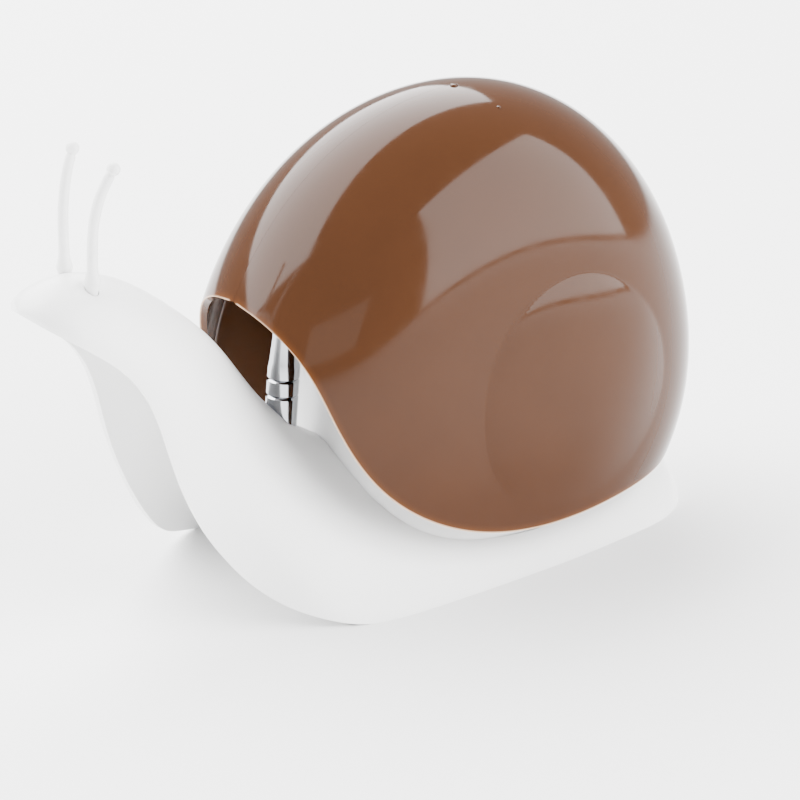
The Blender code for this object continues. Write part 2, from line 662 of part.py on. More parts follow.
def make_base():
    plate = flat_outline("base_plate", rounded_outline(PLATE_HALF_LENGTH, PLATE_HALF_WIDTH, PLATE_ROUNDNESS,
                                                       OUTLINE_POINTS), PLATE_BOTTOM, PLATE_TOP, PLATE_CENTRE_X)
    cut(plate, *[cylinder(f"plate_hole_{i}", SCREW_SHANK_RADIUS + GAP, 0.0, 2 * PLATE_TOP, x, y)
                 for i, (x, y) in enumerate(base_screw_places())])
    pieces = {"base_plate": baked(plate)}
    number = 0
    for x in PAD_X:
        for y in (-PAD_Y, PAD_Y):
            number += 1
            name = f"foot_pad_{number}"
            pieces[name] = cylinder(name, PAD_RADIUS, 0.0, PAD_HEIGHT, x, y, ROUND)
    for i, (x, y) in enumerate(base_screw_places()):
        name = f"base_screw_{i + 1}"
        pieces[name] = make_screw(name, x, y, PLATE_BOTTOM - GAP, PLATE_THICK + 2 * GAP)
    return pieces


def make_screw(name, x, y, seat, clamped):
    """A pan-head screw pointing up: its head is below the seat, its shank passes the clamped thickness."""
    top = seat + clamped + SCREW_GRIP - GAP
    rounding, flat = SCREW_HEAD_DOME
    profile = ((0.0, top), (SCREW_TIP * SCREW_SHANK_RADIUS, top),
               (SCREW_SHANK_RADIUS, top - SCREW_SHANK_RADIUS), (SCREW_SHANK_RADIUS, seat),
               (SCREW_HEAD_RADIUS, seat),
               (SCREW_HEAD_RADIUS, seat - rounding * SCREW_HEAD_HEIGHT),
               (flat * SCREW_HEAD_RADIUS, seat - SCREW_HEAD_HEIGHT), (0.0, seat - SCREW_HEAD_HEIGHT))
    screw = turned(name, profile, x, FEW_SIDES)
    screw.location.y = y
    return screw


def make_bottle():
    """Bottle with a round neck on the pump's axis and a wide body that reaches forward of it."""
    a, b = BOTTLE_HALF
    neck = BOTTLE_NECK_RADIUS
    corner, step = BOTTLE_CORNER, BOTTLE_CORNER * BOTTLE_CORNER_STEP
    shoulder = COLLAR_Z - COLLAR_HEIGHT - 2 * GAP - BOTTLE_SHOULDER
    sections = [(BOTTLE_BOTTOM, BOTTLE_X, a - corner, b - corner),
                (BOTTLE_BOTTOM + step, BOTTLE_X, a - step, b - step),
                (BOTTLE_BOTTOM + corner, BOTTLE_X, a, b), (shoulder, BOTTLE_X, a, b)]
    for share in BOTTLE_SHOULDER_STEPS:
        drop = 1.0 - (1.0 - share**2) ** 0.5
        sections.append((shoulder + share * BOTTLE_SHOULDER, BOTTLE_X + (PUMP_X - BOTTLE_X) * drop,
                         a + (neck - a) * drop, b + (neck - b) * drop))
    sections.append((BOTTLE_TOP, PUMP_X, neck, neck))

    def roundness(half_y):
        return np.interp(half_y, (neck, b), (2.0, BOTTLE_ROUNDNESS))

    bottle = loft_rings("reservoir_bottle", sections, ROUND, roundness)
    wall = bottle.modifiers.new("wall", 'SOLIDIFY')
    wall.thickness = BOTTLE_WALL
    wall.offset = -1.0
    return baked(bottle)


def make_pump():
    """Everything on the pump's axis except the actuator."""
    pieces = {}
    hole = STEM_RADIUS + COLLAR_HOLE_GAP
    collar_inner = BOTTLE_NECK_RADIUS + GAP
    collar_low = COLLAR_Z - COLLAR_HEIGHT
    pieces["collar"] = turned("collar", (
        (hole, COLLAR_Z), (COLLAR_RADIUS - COLLAR_CHAMFER, COLLAR_Z),
        (COLLAR_RADIUS, COLLAR_Z - COLLAR_CHAMFER), (COLLAR_RADIUS, collar_low), (collar_inner, collar_low),
        (collar_inner, COLLAR_Z - COLLAR_TOP),
        (hole, COLLAR_Z - COLLAR_TOP)), PUMP_X)
    flange = BOTTLE_NECK_RADIUS - GAP
    low = CYLINDER_BOTTOM
    floor = low - CYLINDER_FLOOR
    spigot_bore = DIP_RADIUS + GAP
    spigot = spigot_bore + DIP_SPIGOT_WALL
    seat = low + BALL_SEAT_HEIGHT
    seat_hole, cage = INLET_SEAT[0] * INLET_BALL_RADIUS, INLET_BALL_RADIUS + INLET_BALL_GAP
    pieces["pump_cylinder"] = turned("pump_cylinder", (
        (CYLINDER_BORE, FLANGE_TOP), (flange, FLANGE_TOP), (flange, FLANGE_TOP - FLANGE_THICK),
        (CYLINDER_RADIUS, FLANGE_TOP - FLANGE_THICK), (CYLINDER_RADIUS, low), (spigot, floor),
        (spigot, floor - DIP_SPIGOT), (spigot_bore, floor - DIP_SPIGOT), (spigot_bore, floor),
        (seat_hole, floor), (seat_hole, low), (cage, seat - BALL_SEAT_STEP), (cage, seat + BALL_SEAT_STEP),
        (CYLINDER_BORE, seat + BALL_SEAT_STEP)), PUMP_X)
    pieces["gasket"] = turned("gasket", (
        (CYLINDER_RADIUS + GAP, GASKET_TOP), (flange, GASKET_TOP), (flange, GASKET_TOP - GASKET_THICK),
        (CYLINDER_RADIUS + GAP, GASKET_TOP - GASKET_THICK)), PUMP_X)
    guide_low = low + PISTON_BOTTOM + PISTON_HEIGHT + GUIDE_GAP
    pieces["pump_guide"] = turned("pump_guide", (
        (STEM_RADIUS + GAP, FLANGE_TOP), (CYLINDER_BORE - GAP, FLANGE_TOP), (CYLINDER_BORE - GAP, guide_low),
        (STEM_RADIUS + GAP, guide_low)), PUMP_X)
    dip_top = floor - GAP
    dip_low = BOTTLE_BOTTOM + BOTTLE_WALL + DIP_END_GAP
    pieces["dip_tube"] = turned("dip_tube", (
        (DIP_BORE, dip_top), (DIP_RADIUS, dip_top), (DIP_RADIUS, dip_low), (DIP_BORE, dip_low)), PUMP_X,
        DIP_STEPS)
    piston_low = low + PISTON_BOTTOM
    piston_top = piston_low + PISTON_HEIGHT
    ledge = STEM_BOTTOM - GAP
    pieces["piston"] = turned("piston", (
        (STEM_RADIUS + GAP, piston_top), (CYLINDER_BORE - GAP, piston_top), (CYLINDER_BORE - GAP, piston_low),
        (STEM_BORE, piston_low), (STEM_BORE, ledge), (STEM_RADIUS + GAP, ledge)), PUMP_X)
    chamber = STEM_TOP - STEM_SEAT_DROP
    lower, upper = (chamber - step for step in STEM_SEAT_STEPS)
    outlet_hole = OUTLET_SEAT[0] * OUTLET_BALL_RADIUS
    pieces["stem"] = turned("stem", (
        (STEM_CHAMBER, STEM_TOP), (STEM_RADIUS, STEM_TOP), (STEM_RADIUS, STEM_BOTTOM), (STEM_BORE, STEM_BOTTOM),
        (STEM_BORE, lower), (outlet_hole, lower), (outlet_hole, upper), (STEM_CHAMBER, chamber)), PUMP_X)
    pieces["inlet_ball"] = ball("inlet_ball", INLET_BALL_RADIUS, low + INLET_SEAT[1] * INLET_BALL_RADIUS)
    pieces["outlet_ball"] = ball("outlet_ball", OUTLET_BALL_RADIUS,
                                 chamber + OUTLET_SEAT[1] * OUTLET_BALL_RADIUS)
    pieces["return_spring"] = make_spring(seat + BALL_SEAT_STEP + GAP, piston_low - GAP)
    return pieces


def ball(name, radius, z):
    bm = bmesh.new()
    bmesh.ops.create_uvsphere(bm, u_segments=BALL_SEGMENTS[0], v_segments=BALL_SEGMENTS[1], radius=radius)
    obj = mesh_object(name, bm)
    obj.location = (PUMP_X, 0.0, z)
    return obj


def make_spring(low, high):
    """Open turns between the cylinder's floor and the piston."""
    count = SPRING_TURNS * SPRING_STEPS
    span = high - low - 2 * SPRING_WIRE
    route = []
    for i in range(count + 1):
        turn = 2 * pi * i / SPRING_STEPS
        route.append((PUMP_X + SPRING_RADIUS * cos(turn), SPRING_RADIUS * sin(turn),
                      low + SPRING_WIRE + span * i / count))
    return rod("return_spring", route, SPRING_WIRE, sides=1)


def spout_route(lift=0.0):
    """The spout's centre line, from inside the actuator to inside the nozzle."""
    place = nozzle_place()
    entry = place @ Vector((0.0, 0.0, NOZZLE_LENGTH - NOZZLE_SOCKET_DEPTH + 2 * GAP - lift))
    mouth = place @ Vector((0.0, 0.0, NOZZLE_LENGTH))
    start = Vector((PUMP_X, 0.0, ACTUATOR_TOP - SPOUT_START_DROP))
    rise = start.z - mouth.z
    reach = start.x - mouth.x
    bends = [Vector((mouth.x + back * reach, 0.0, start.z - down * rise)) for back, down in SPOUT_BENDS]
    knots = [start, Vector((start.x - SPOUT_RUN * reach, 0.0, start.z)), *bends, mouth, entry]
    return [tuple(p) for p in through(knots, SPOUT_POINTS)]


def make_actuator():
    """Pump head with its forward spout, bored for the stem."""
    low, top = ACTUATOR_BOTTOM, ACTUATOR_TOP
    spigot_top = BRIDGE_TOP - GAP
    chamfer = ACTUATOR_CHAMFER
    head = turned("actuator_head", (
        (0.0, spigot_top), (SPIGOT_RADIUS, spigot_top), (SPIGOT_RADIUS, top), (ACTUATOR_RADIUS - chamfer, top),
        (ACTUATOR_RADIUS, top - chamfer), (ACTUATOR_RADIUS, low + ACTUATOR_TAPER),
        (ACTUATOR_FOOT * ACTUATOR_RADIUS, low), (0.0, low)), PUMP_X)
    head = baked(head)
    join(head, rod("spout_form", spout_route(), SPOUT_RADIUS))
    stem_bore = cylinder("stem_bore", STEM_RADIUS + GAP, low - BORE_OVERRUN, STEM_TOP + GAP, PUMP_X,
                         steps=ROUND)
    joining = cylinder("head_channel", STEM_BORE, STEM_TOP, top - SPOUT_START_DROP, PUMP_X)
    channel = rod("spout_channel", spout_route(lift=SPOUT_CHANNEL_LIFT), SPOUT_BORE, sides=1)
    cut(head, stem_bore, joining, channel)
    return baked(head)


def make_nozzle():
    """Turned chrome nozzle with two grooves and a slimmer upper part."""
    r, neck, groove = NOZZLE_RADIUS, NOZZLE_NECK_RADIUS, NOZZLE_GROOVE_HALF
    bore_top = SPOUT_RADIUS + GAP
    socket = NOZZLE_LENGTH - NOZZLE_SOCKET_DEPTH
    profile = [(bore_top, NOZZLE_LENGTH), (neck, NOZZLE_LENGTH), (neck, NOZZLE_NECK_FROM),
               (r - NOZZLE_TAPER_DEPTH, NOZZLE_TAPER_FROM), (r, NOZZLE_STRAIGHT_TO)]
    for height in reversed(NOZZLE_GROOVES):
        profile += [(r, height + groove), (r - groove, height), (r, height - groove)]
    profile += [(r, NOZZLE_CHAMFER), (r - NOZZLE_CHAMFER, 0.0), (NOZZLE_BORE, 0.0), (NOZZLE_BORE, socket),
                (bore_top, socket)]
    nozzle = turned("delivery_nozzle", profile)
    nozzle.matrix_world = nozzle_place()
    return nozzle


def make_gland():
    """Cup in the neck that the nozzle plunges into, with a side port for the hose, and its wiper."""
    low = GLAND_TOP - GLAND_DEPTH
    flange_top = GLAND_BOSS_BOTTOM - GAP
    flange_low = flange_top - GLAND_FLANGE_THICK
    cup = baked(turned("neck_gland", (
        (0.0, low + GLAND_FLOOR), (GLAND_BORE, low + GLAND_FLOOR), (GLAND_BORE, GLAND_TOP),
        (GLAND_RADIUS, GLAND_TOP), (GLAND_RADIUS, flange_top), (GLAND_FLANGE_RADIUS, flange_top),
        (GLAND_FLANGE_RADIUS, flange_low), (GLAND_RADIUS, flange_low), (GLAND_RADIUS, low), (0.0, low)),
        GLAND_X))
    port_x = GLAND_X - GLAND_BORE - PORT_ROOT
    port_end = GLAND_X - GLAND_RADIUS - PORT_SHOWN * PORT_LENGTH
    join(cup, rod("gland_port", [(port_x, 0.0, PORT_Z), (port_end, 0.0, PORT_Z)], PORT_RADIUS))
    cut(cup, rod("gland_port_bore", [(GLAND_X, 0.0, PORT_Z), (port_end - BORE_OVERRUN, 0.0, PORT_Z)], PORT_BORE,
                 sides=1))
    seal_low = GLAND_TOP + GAP
    seal = turned("gland_seal", (
        (SEAL_BORE, seal_low + SEAL_THICK), (GLAND_RADIUS, seal_low + SEAL_THICK), (GLAND_RADIUS, seal_low),
        (SEAL_BORE, seal_low)), GLAND_X)
    return {"neck_gland": baked(cup), "gland_seal": seal}


def make_hose():
    """Soft hose from the gland's port, under the ridge of the neck, to the mouth."""
    start = GLAND_X - GLAND_RADIUS - HOSE_START_GAP
    knots = [(start - step * PORT_LENGTH / 2, 0.0, PORT_Z) for step in range(3)]
    knots += [(x * LENGTH, 0.0, z * HEIGHT) for x, z in HOSE_KNOTS]
    route = [tuple(p) for p in through(knots, HOSE_POINTS)]
    hose = rod("soap_hose", route, HOSE_RADIUS, sides=2)
    first, last = Vector(route[0]), Vector(route[-1])
    longer = [tuple(first + Vector((BORE_OVERRUN, 0.0, 0.0)))] + route
    longer.append(tuple(last + (last - Vector(route[-2])).normalized() * BORE_OVERRUN))
    cut(hose, rod("hose_bore", longer, HOSE_BORE, sides=2))
    return baked(hose)


def make_bridge():
    """Bar across the inside of the shell that grips the actuator, with four screws up into the shell."""
    half_x, half_y = BRIDGE_HALF
    bar = box("inner_bridge", (PUMP_X - half_x, -half_y, BRIDGE_BOTTOM), (PUMP_X + half_x, half_y, BRIDGE_TOP))
    cut(bar, cylinder("spigot_hole", SPIGOT_RADIUS + GAP, BRIDGE_BOTTOM - GAP, BRIDGE_TOP + GAP, PUMP_X,
                      steps=ROUND))
    for i, (x, y) in enumerate(bridge_screw_places()):
        cut(bar, cylinder(f"bridge_hole_{i}", SCREW_SHANK_RADIUS + GAP, BRIDGE_BOTTOM - GAP, BRIDGE_TOP + GAP,
                          x, y))
    pieces = {"inner_bridge": baked(bar)}
    for i, (x, y) in enumerate(bridge_screw_places()):
        name = f"bridge_screw_{i + 1}"
        pieces[name] = make_screw(name, x, y, BRIDGE_BOTTOM - GAP, BRIDGE_THICK + 2 * GAP)
    return pieces


# ---------------------------------------------------------------- assembly
WHITE = ((0.86, 0.86, 0.85), 0.32, 0.0)
BROWN = ((0.22, 0.09, 0.045), 0.12, 0.0)
CHROME = ((0.75, 0.76, 0.78), 0.08, 1.0)
STEEL = ((0.55, 0.55, 0.56), 0.30, 1.0)
CLEAR = ((0.80, 0.84, 0.86), 0.20, 0.0)
RUBBER = ((0.70, 0.70, 0.69), 0.60, 0.0)
LOOKS = {"shell": BROWN, "inner_bridge": BROWN, "actuator": CHROME, "delivery": CHROME, "base_screw": STEEL,
         "bridge_screw": STEEL, "return": STEEL, "inlet": STEEL, "outlet": STEEL, "foot_pad": RUBBER,
         "gasket": RUBBER, "gland_seal": RUBBER, "reservoir": CLEAR, "soap_hose": CLEAR, "dip_tube": CLEAR}


def look_of(name):
    for start, look in LOOKS.items():
        if name.startswith(start):
            return look
    return WHITE


def main():
    pieces = {"body": make_body()}
    pieces["shell_left"], pieces["shell_right"] = make_shell()
    pieces["feeler_left"] = make_feeler("feeler_left", -1)
    pieces["feeler_right"] = make_feeler("feeler_right", 1)
    pieces.update(make_base())
    pieces["reservoir_bottle"] = make_bottle()
    pieces.update(make_pump())
    pieces["actuator_head"] = make_actuator()
    pieces["delivery_nozzle"] = make_nozzle()
    pieces.update(make_gland())
    pieces["soap_hose"] = make_hose()
    pieces.update(make_bridge())
    for name, obj in pieces.items():
        colour, roughness, metallic = look_of(name)
        obj.data.materials.clear()
        obj.data.materials.append(material(name, colour, roughness, metallic))
        smooth_shaded(obj)


main()
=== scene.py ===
"""Looks of the snail soap dispenser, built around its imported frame."""

import json
from math import cos, pi, radians, sin

import bmesh
import bpy
import numpy as np
from mathutils import Matrix, Vector
from mathutils.bvhtree import BVHTree
from mathutils.kdtree import KDTree


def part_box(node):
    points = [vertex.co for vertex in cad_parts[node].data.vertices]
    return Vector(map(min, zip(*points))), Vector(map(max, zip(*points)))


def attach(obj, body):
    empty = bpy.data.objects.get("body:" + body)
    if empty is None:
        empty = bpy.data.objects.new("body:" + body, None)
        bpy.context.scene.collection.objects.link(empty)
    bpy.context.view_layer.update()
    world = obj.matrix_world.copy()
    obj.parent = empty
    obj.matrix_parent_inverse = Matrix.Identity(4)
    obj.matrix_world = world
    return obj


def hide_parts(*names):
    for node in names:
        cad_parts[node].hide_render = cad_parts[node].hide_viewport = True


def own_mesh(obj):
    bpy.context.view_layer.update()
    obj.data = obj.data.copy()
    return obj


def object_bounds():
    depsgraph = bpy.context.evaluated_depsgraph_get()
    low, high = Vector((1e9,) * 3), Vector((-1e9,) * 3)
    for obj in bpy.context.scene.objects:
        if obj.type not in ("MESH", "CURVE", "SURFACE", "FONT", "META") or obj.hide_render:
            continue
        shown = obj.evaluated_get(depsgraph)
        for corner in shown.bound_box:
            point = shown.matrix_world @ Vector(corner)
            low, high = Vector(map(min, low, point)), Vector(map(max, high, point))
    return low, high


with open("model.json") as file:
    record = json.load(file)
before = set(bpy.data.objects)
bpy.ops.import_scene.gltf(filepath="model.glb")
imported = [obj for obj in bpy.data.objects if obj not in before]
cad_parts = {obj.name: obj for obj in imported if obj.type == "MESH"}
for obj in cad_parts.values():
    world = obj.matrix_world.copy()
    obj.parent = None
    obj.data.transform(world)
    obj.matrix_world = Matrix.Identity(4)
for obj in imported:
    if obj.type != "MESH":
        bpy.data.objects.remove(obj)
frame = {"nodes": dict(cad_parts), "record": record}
CAD_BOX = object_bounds()
LOW, HIGH = (Vector(corner) for corner in CAD_BOX)
LENGTH, WIDTH, HEIGHT = HIGH - LOW
NODES = frame["nodes"]

# ---- body: half edge (x, y, z), ridge (x, z) and the section's two exponents, from lip to tail
BODY_STATIONS = (
    (-0.500, 0.000, 0.705, -0.500, 0.705, 2.0, 0.50),
    (-0.484, 0.105, 0.686, -0.489, 0.728, 2.0, 0.50),
    (-0.430, 0.178, 0.626, -0.434, 0.757, 2.0, 0.50),
    (-0.373, 0.194, 0.534, -0.366, 0.735, 2.0, 0.50),
    (-0.335, 0.216, 0.366, -0.286, 0.650, 2.0, 0.50),
    (-0.293, 0.240, 0.200, -0.217, 0.541, 2.0, 0.52),
    (-0.233, 0.325, 0.075, -0.149, 0.396, 1.9, 0.62),
    (-0.180, 0.420, 0.026, -0.080, 0.305, 1.8, 0.80),
    (-0.113, 0.486, 0.000, -0.011, 0.250, 1.7, 0.95),
    (-0.034, 0.500, 0.000, 0.057, 0.209, 1.6, 1.00),
    (0.086, 0.481, 0.000, 0.137, 0.173, 1.5, 1.00),
    (0.214, 0.450, 0.000, 0.240, 0.153, 1.5, 1.00),
    (0.334, 0.401, 0.000, 0.343, 0.141, 1.6, 0.95),
    (0.430, 0.315, 0.000, 0.423, 0.123, 1.8, 0.70),
    (0.476, 0.169, 0.000, 0.466, 0.090, 2.0, 0.50),
    (0.483, 0.085, 0.000, 0.481, 0.050, 2.0, 0.50),
    (0.485, 0.000, 0.000, 0.485, 0.000, 2.0, 0.50),
)
BODY_WALL = 0.0017
BODY_ROUNDING = 0.00035
BODY_SECTIONS = 170
BODY_SECTION_POINTS = 44

# ---- what stands in the body: clearances, the gland's boss and the screws' bosses
CLEARANCE = 0.0003
GLAND_BOSS_RISE = 0.0080       # its foot and its well's floor, above the gland's own foot
GLAND_WELL_RISE = 0.0070
GLAND_WELL_ROOM = 0.0006       # over the seal
SCREW_BOSS_RADIUS = 0.0028
SCREW_PILOT_RADIUS = 0.0014
SCREW_SIDES = (24, 16)         # of a boss and of its pilot hole
BOSS_RINGS = (0.0, 0.35, 0.7, 1.0)   # rings of a boss's top, over its radius
ROUND_SIDES = 40
NOZZLE_HOLE_CLEARANCE = 0.0005
NOZZLE_HOLE_SPAN = (-0.010, 0.041)   # along the nozzle's axis, about the hole's middle
NOZZLE_HOLE_MIDDLE = 0.0205
MOUTH_GAP = 0.00012            # round the bottle where it stands in the body
MOUTH_SPAN = (0.001, 0.055)
BOTTLE_MARGIN = 0.001          # edges this near the bottle aren't rounded
SOCKET_RADIUS = 0.0016
SOCKET_REACH = (0.004, 0.006)  # below and above the feeler's root
SOCKET_SIDES = 24
FLOOR_CUT = (0.2, 0.1, 0.05)   # half length, half width and depth of what trims the sole flat

# ---- bottle
BOTTLE_ROUNDNESS = 2.6
BOTTLE_NECK_RADIUS = 0.0110
BOTTLE_CORNER = 0.0040
BOTTLE_SHOULDER = 0.0090
BOTTLE_COLLAR_GAP = 0.0006
BOTTLE_WALL = 0.0012
BOTTLE_SIDES = 128
BOTTLE_STEPS = (6, 12)         # of the bottom corner and of the shoulder

# ---- spring
SPRING_TURNS = 5
SPRING_STEPS = 48
SPRING_WIRE = 0.0004
SPRING_WIRE_STEPS = 3

# ---- shell
SHELL_CENTRE = (0.134 * LENGTH, 0.402 * HEIGHT)
SHELL_RADII = ((-60, 0.600), (-20, 0.600), (10, 0.570), (40, 0.570), (70, 0.582), (100, 0.573),
               (125, 0.562), (150, 0.559), (180, 0.569), (215, 0.562), (250, 0.550), (300, 0.600))
SHELL_HALF_WIDTH = 0.4625 * WIDTH
SHELL_FULLNESS = 3.8
SHELL_EDGE = ((-0.192, 0.625), (-0.169, 0.551), (-0.137, 0.409), (-0.087, 0.273), (-0.006, 0.167),
              (0.096, 0.105), (0.217, 0.092), (0.334, 0.110), (0.429, 0.133), (0.488, 0.167))
SHELL_WALL = 0.0018
SHELL_SEAM = 0.00002       # half the hairline between the two mouldings
SEAM_BAND = 0.00018        # what lies this near the centre plane belongs to the seam
SHELL_ARC_STEPS = (190, 210)
SHELL_RINGS = 110
RIM_ROUNDING = 0.0004
RIM_REACH = 0.0022         # how far in from the rim the painted warm glow shows
SHELL_EDGE_POINTS = 400
SHELL_RING_POWER = 1.5     # rings lie closer together near the hub
WHORL_CENTRE = (0.229 * LENGTH, 0.382 * HEIGHT)
WHORL_RADII = ((-105, 0.262), (-60, 0.245), (0, 0.227), (54, 0.227), (83, 0.245), (100, 0.255),
               (145, 0.262), (180, 0.258), (220, 0.273), (255, 0.262))
WHORL_HEIGHT = 0.0026
WHORL_STEP = ((-60, 0.0), (40, 1.0), (205, 1.0), (245, 0.0))   # how clear its edge is, by angle
WHORL_POWERS = (1.5, 0.9)                                      # side profile: melted, clear step
GATE_MARKS = ((radians(87.7), -0.0007, 0.0009), (radians(84.0), -0.0125, 0.0005))  # angle, y, radius
GATE_MARK_HEIGHTS = (0.25, 0.4)    # of its shoulder and top, over its radius
GATE_MARK_TOP = 0.6                # its top's radius, over its own
GATE_MARK_SINK = 0.0006
GATE_MARK_SIDES = 20

# ---- feelers
FEELER_ROUTE = ((-0.414, 0.079, 0.716), (-0.413, 0.082, 0.790), (-0.411, 0.088, 0.873),
                (-0.400, 0.103, 0.945), (-0.388, 0.117, 0.986))
FEELER_POINTS = 70
FEELER_STEM_RADIUS = 0.00125
FEELER_BALL_RADIUS = 0.0015
FEELER_FLARE = 0.55            # the foot ring's extra radius, over the stem's
FEELER_FLARE_RISE = 0.0045
FEELER_FLARE_HALF = 0.0030
FEELER_FLARE_POWER = 1.5
FEELER_TAPER = 0.10            # radius lost over the free length
FEELER_FREE_LENGTH = 0.030
FEELER_BALL_JOIN = 0.9         # where the stem stops short of the ball's middle, over its radius
FEELER_BALL_START = -0.62      # where the ball leaves the stem, in quarter turns from its waist
FEELER_BALL_TURNS = 1.60       # how many quarter turns it then takes
FEELER_BALL_STEPS = 16
FEELER_BALL_FLAT = 0.08        # radius left at the very end, over the ball's

# ---- nozzle
NOZZLE_TILT = radians(4.7)
NOZZLE_FOOT = Vector((-0.0219, 0.0, 0.0270))
NOZZLE_LENGTH = 0.0410
NOZZLE_RADIUS = 0.0037
NOZZLE_NECK_RADIUS = 0.0031
NOZZLE_GROOVES = (0.0167, 0.0206)
NOZZLE_BORES = (0.0016, 0.0027)    # below and above the step inside
NOZZLE_BORE_STEP = 0.029
NOZZLE_SHOULDER = ((0.0300, 0.0), (0.0280, 0.00015))   # height, and radius added to the neck
NOZZLE_SHOULDER_FOOT = ((0.0245, 0.0002), (0.0232, 0.0))   # height, and radius off the barrel
NOZZLE_CHAMFER = 0.0006
GROOVE_HALF = 0.00045
GROOVE_SLOPE = (0.0003, 0.0001)    # half width and depth where it turns steep
GROOVE_DEPTH = 0.0004
NOZZLE_SIDES = 96

# ---- camera: looking down on the near side from ahead
CAMERA_SIDE = radians(35.0)
CAMERA_HEIGHT = radians(22.0)
CAMERA_DISTANCE = 0.950
CAMERA_AIM = (0.0096, 0.0347)   # picture centre, right of and above the origin
CAMERA_LENS = 185.1
CAMERA_SENSOR = 36.0
CAMERA_NEAR = 0.01

# ---- studio: side and height in degrees, distance, width, height, radiance
SOFTBOXES = {"window_softbox": (38.0, 27.0, 1.2, 1.45, 1.25, 10.5),
             "back_softbox": (-164.0, 45.0, 1.2, 2.70, 1.15, 13.0),
             "front_fill": (-40.0, 12.0, 1.9, 1.3, 0.5, 1.8)}
LIGHT_AIM = Vector((0.0, 0.0, 0.05))
FLOOR_HALF = 3.0
PAPER = 0.93
SKY_STRENGTH = 1.0

# ---- small lengths and angles used by the mesh helpers
WELD = 1e-6
SKIN_WELD = 2e-6
MERGE_NEAR = 1e-5
SHARP = radians(50)            # faces that meet at more than this keep a sharp edge
NOZZLE_SHARP = radians(32)
BEVEL_SEGMENTS = 3


# ---------------------------------------------------------------- curves and meshes
def natural_spline(at, knots, values):
    """Natural cubic spline through values (n, m) at knots (n), read at the places at."""
    knots, values = np.asarray(knots, float), np.asarray(values, float)
    n, h = len(knots), np.diff(knots)
    matrix, side = np.eye(n), np.zeros_like(values)
    for i in range(1, n - 1):
        matrix[i, i - 1:i + 2] = h[i - 1], 2 * (h[i - 1] + h[i]), h[i]
        side[i] = 6 * ((values[i + 1] - values[i]) / h[i] - (values[i] - values[i - 1]) / h[i - 1])
    bend = np.linalg.solve(matrix, side)
    k = np.clip(np.searchsorted(knots, at, side="right") - 1, 0, n - 2)
    a, b, step = (knots[k + 1] - at)[:, None], (at - knots[k])[:, None], h[k][:, None]
    return ((bend[k] * a**3 + bend[k + 1] * b**3) / (6 * step)
            + (values[k] / step - bend[k] * step / 6) * a
            + (values[k + 1] / step - bend[k + 1] * step / 6) * b)


def through(rows, count, weights=None):
    """Rows of numbers on a smooth curve through them, at even steps of chord length."""
    rows = np.asarray(rows, float)
    metric = rows if weights is None else rows * np.asarray(weights)
    chord = np.concatenate([[0.0], np.cumsum(np.linalg.norm(np.diff(metric, axis=0), axis=1))])
    return natural_spline(np.linspace(0.0, chord[-1], count), chord, rows)


def mesh_object(name, points, faces):
    mesh = bpy.data.meshes.new(name)
    mesh.from_pydata([tuple(p) for p in points], [], faces)
    obj = bpy.data.objects.new(name, mesh)
    bpy.context.scene.collection.objects.link(obj)
    return obj


def baked(obj):
    """The object with its modifiers applied and doubled points welded."""
    bpy.context.view_layer.update()
    depsgraph = bpy.context.evaluated_depsgraph_get()
    mesh = bpy.data.meshes.new_from_object(obj.evaluated_get(depsgraph), depsgraph=depsgraph)
    bm = bmesh.new()
    bm.from_mesh(mesh)
    bmesh.ops.remove_doubles(bm, verts=bm.verts, dist=WELD)
    bm.to_mesh(mesh)
    bm.free()
    name, place = obj.name, obj.matrix_world.copy()
    bpy.data.objects.remove(obj, do_unlink=True)
    mesh.name = name
    fresh = bpy.data.objects.new(name, mesh)
    bpy.context.scene.collection.objects.link(fresh)
    fresh.matrix_world = place
    return fresh


def combine(obj, others, operation):
    for other in others:
        mod = obj.modifiers.new(other.name, 'BOOLEAN')
        mod.operation = operation
        mod.object = other
        mod.solver = 'EXACT'
    obj = baked(obj)
    for other in others:
        bpy.data.objects.remove(other, do_unlink=True)
    return obj


def mirrored_wall(obj, thickness):
    mirror = obj.modifiers.new("halves", 'MIRROR')
    mirror.use_axis = (False, True, False)
    mirror.merge_threshold = MERGE_NEAR
    return solid_wall(obj, thickness)


def solid_wall(obj, thickness):
    wall = obj.modifiers.new("wall", 'SOLIDIFY')
    wall.thickness = thickness
    wall.offset = -1.0
    return baked(obj)


def shade_smooth(obj, angle=SHARP):
    """Smooth shading, but for the edges sharper than the angle."""
    obj.data.shade_smooth()
    obj.data.set_sharp_from_angle(angle=angle)


def soften(obj, width, stays_sharp):
    """Rounds the sharp edges, but not those that stays_sharp(edge) picks out."""
    bm = bmesh.new()
    bm.from_mesh(obj.data)
    layer = bm.edges.layers.float.new("bevel_weight_edge")
    for edge in bm.edges:
        if len(edge.link_faces) == 2 and edge.calc_face_angle() > SHARP and not stays_sharp(edge):
            edge[layer] = 1.0
    bm.to_mesh(obj.data)
    bm.free()
    bevel = obj.modifiers.new("edges", 'BEVEL')
    bevel.width = width
    bevel.segments = BEVEL_SEGMENTS
    bevel.limit_method = 'WEIGHT'
    obj = baked(obj)
    shade_smooth(obj)
    return obj


def face_outwards(obj):
    bm = bmesh.new()
    bm.from_mesh(obj.data)
    bmesh.ops.recalc_face_normals(bm, faces=bm.faces)
    bm.to_mesh(obj.data)
    bm.free()
    return obj


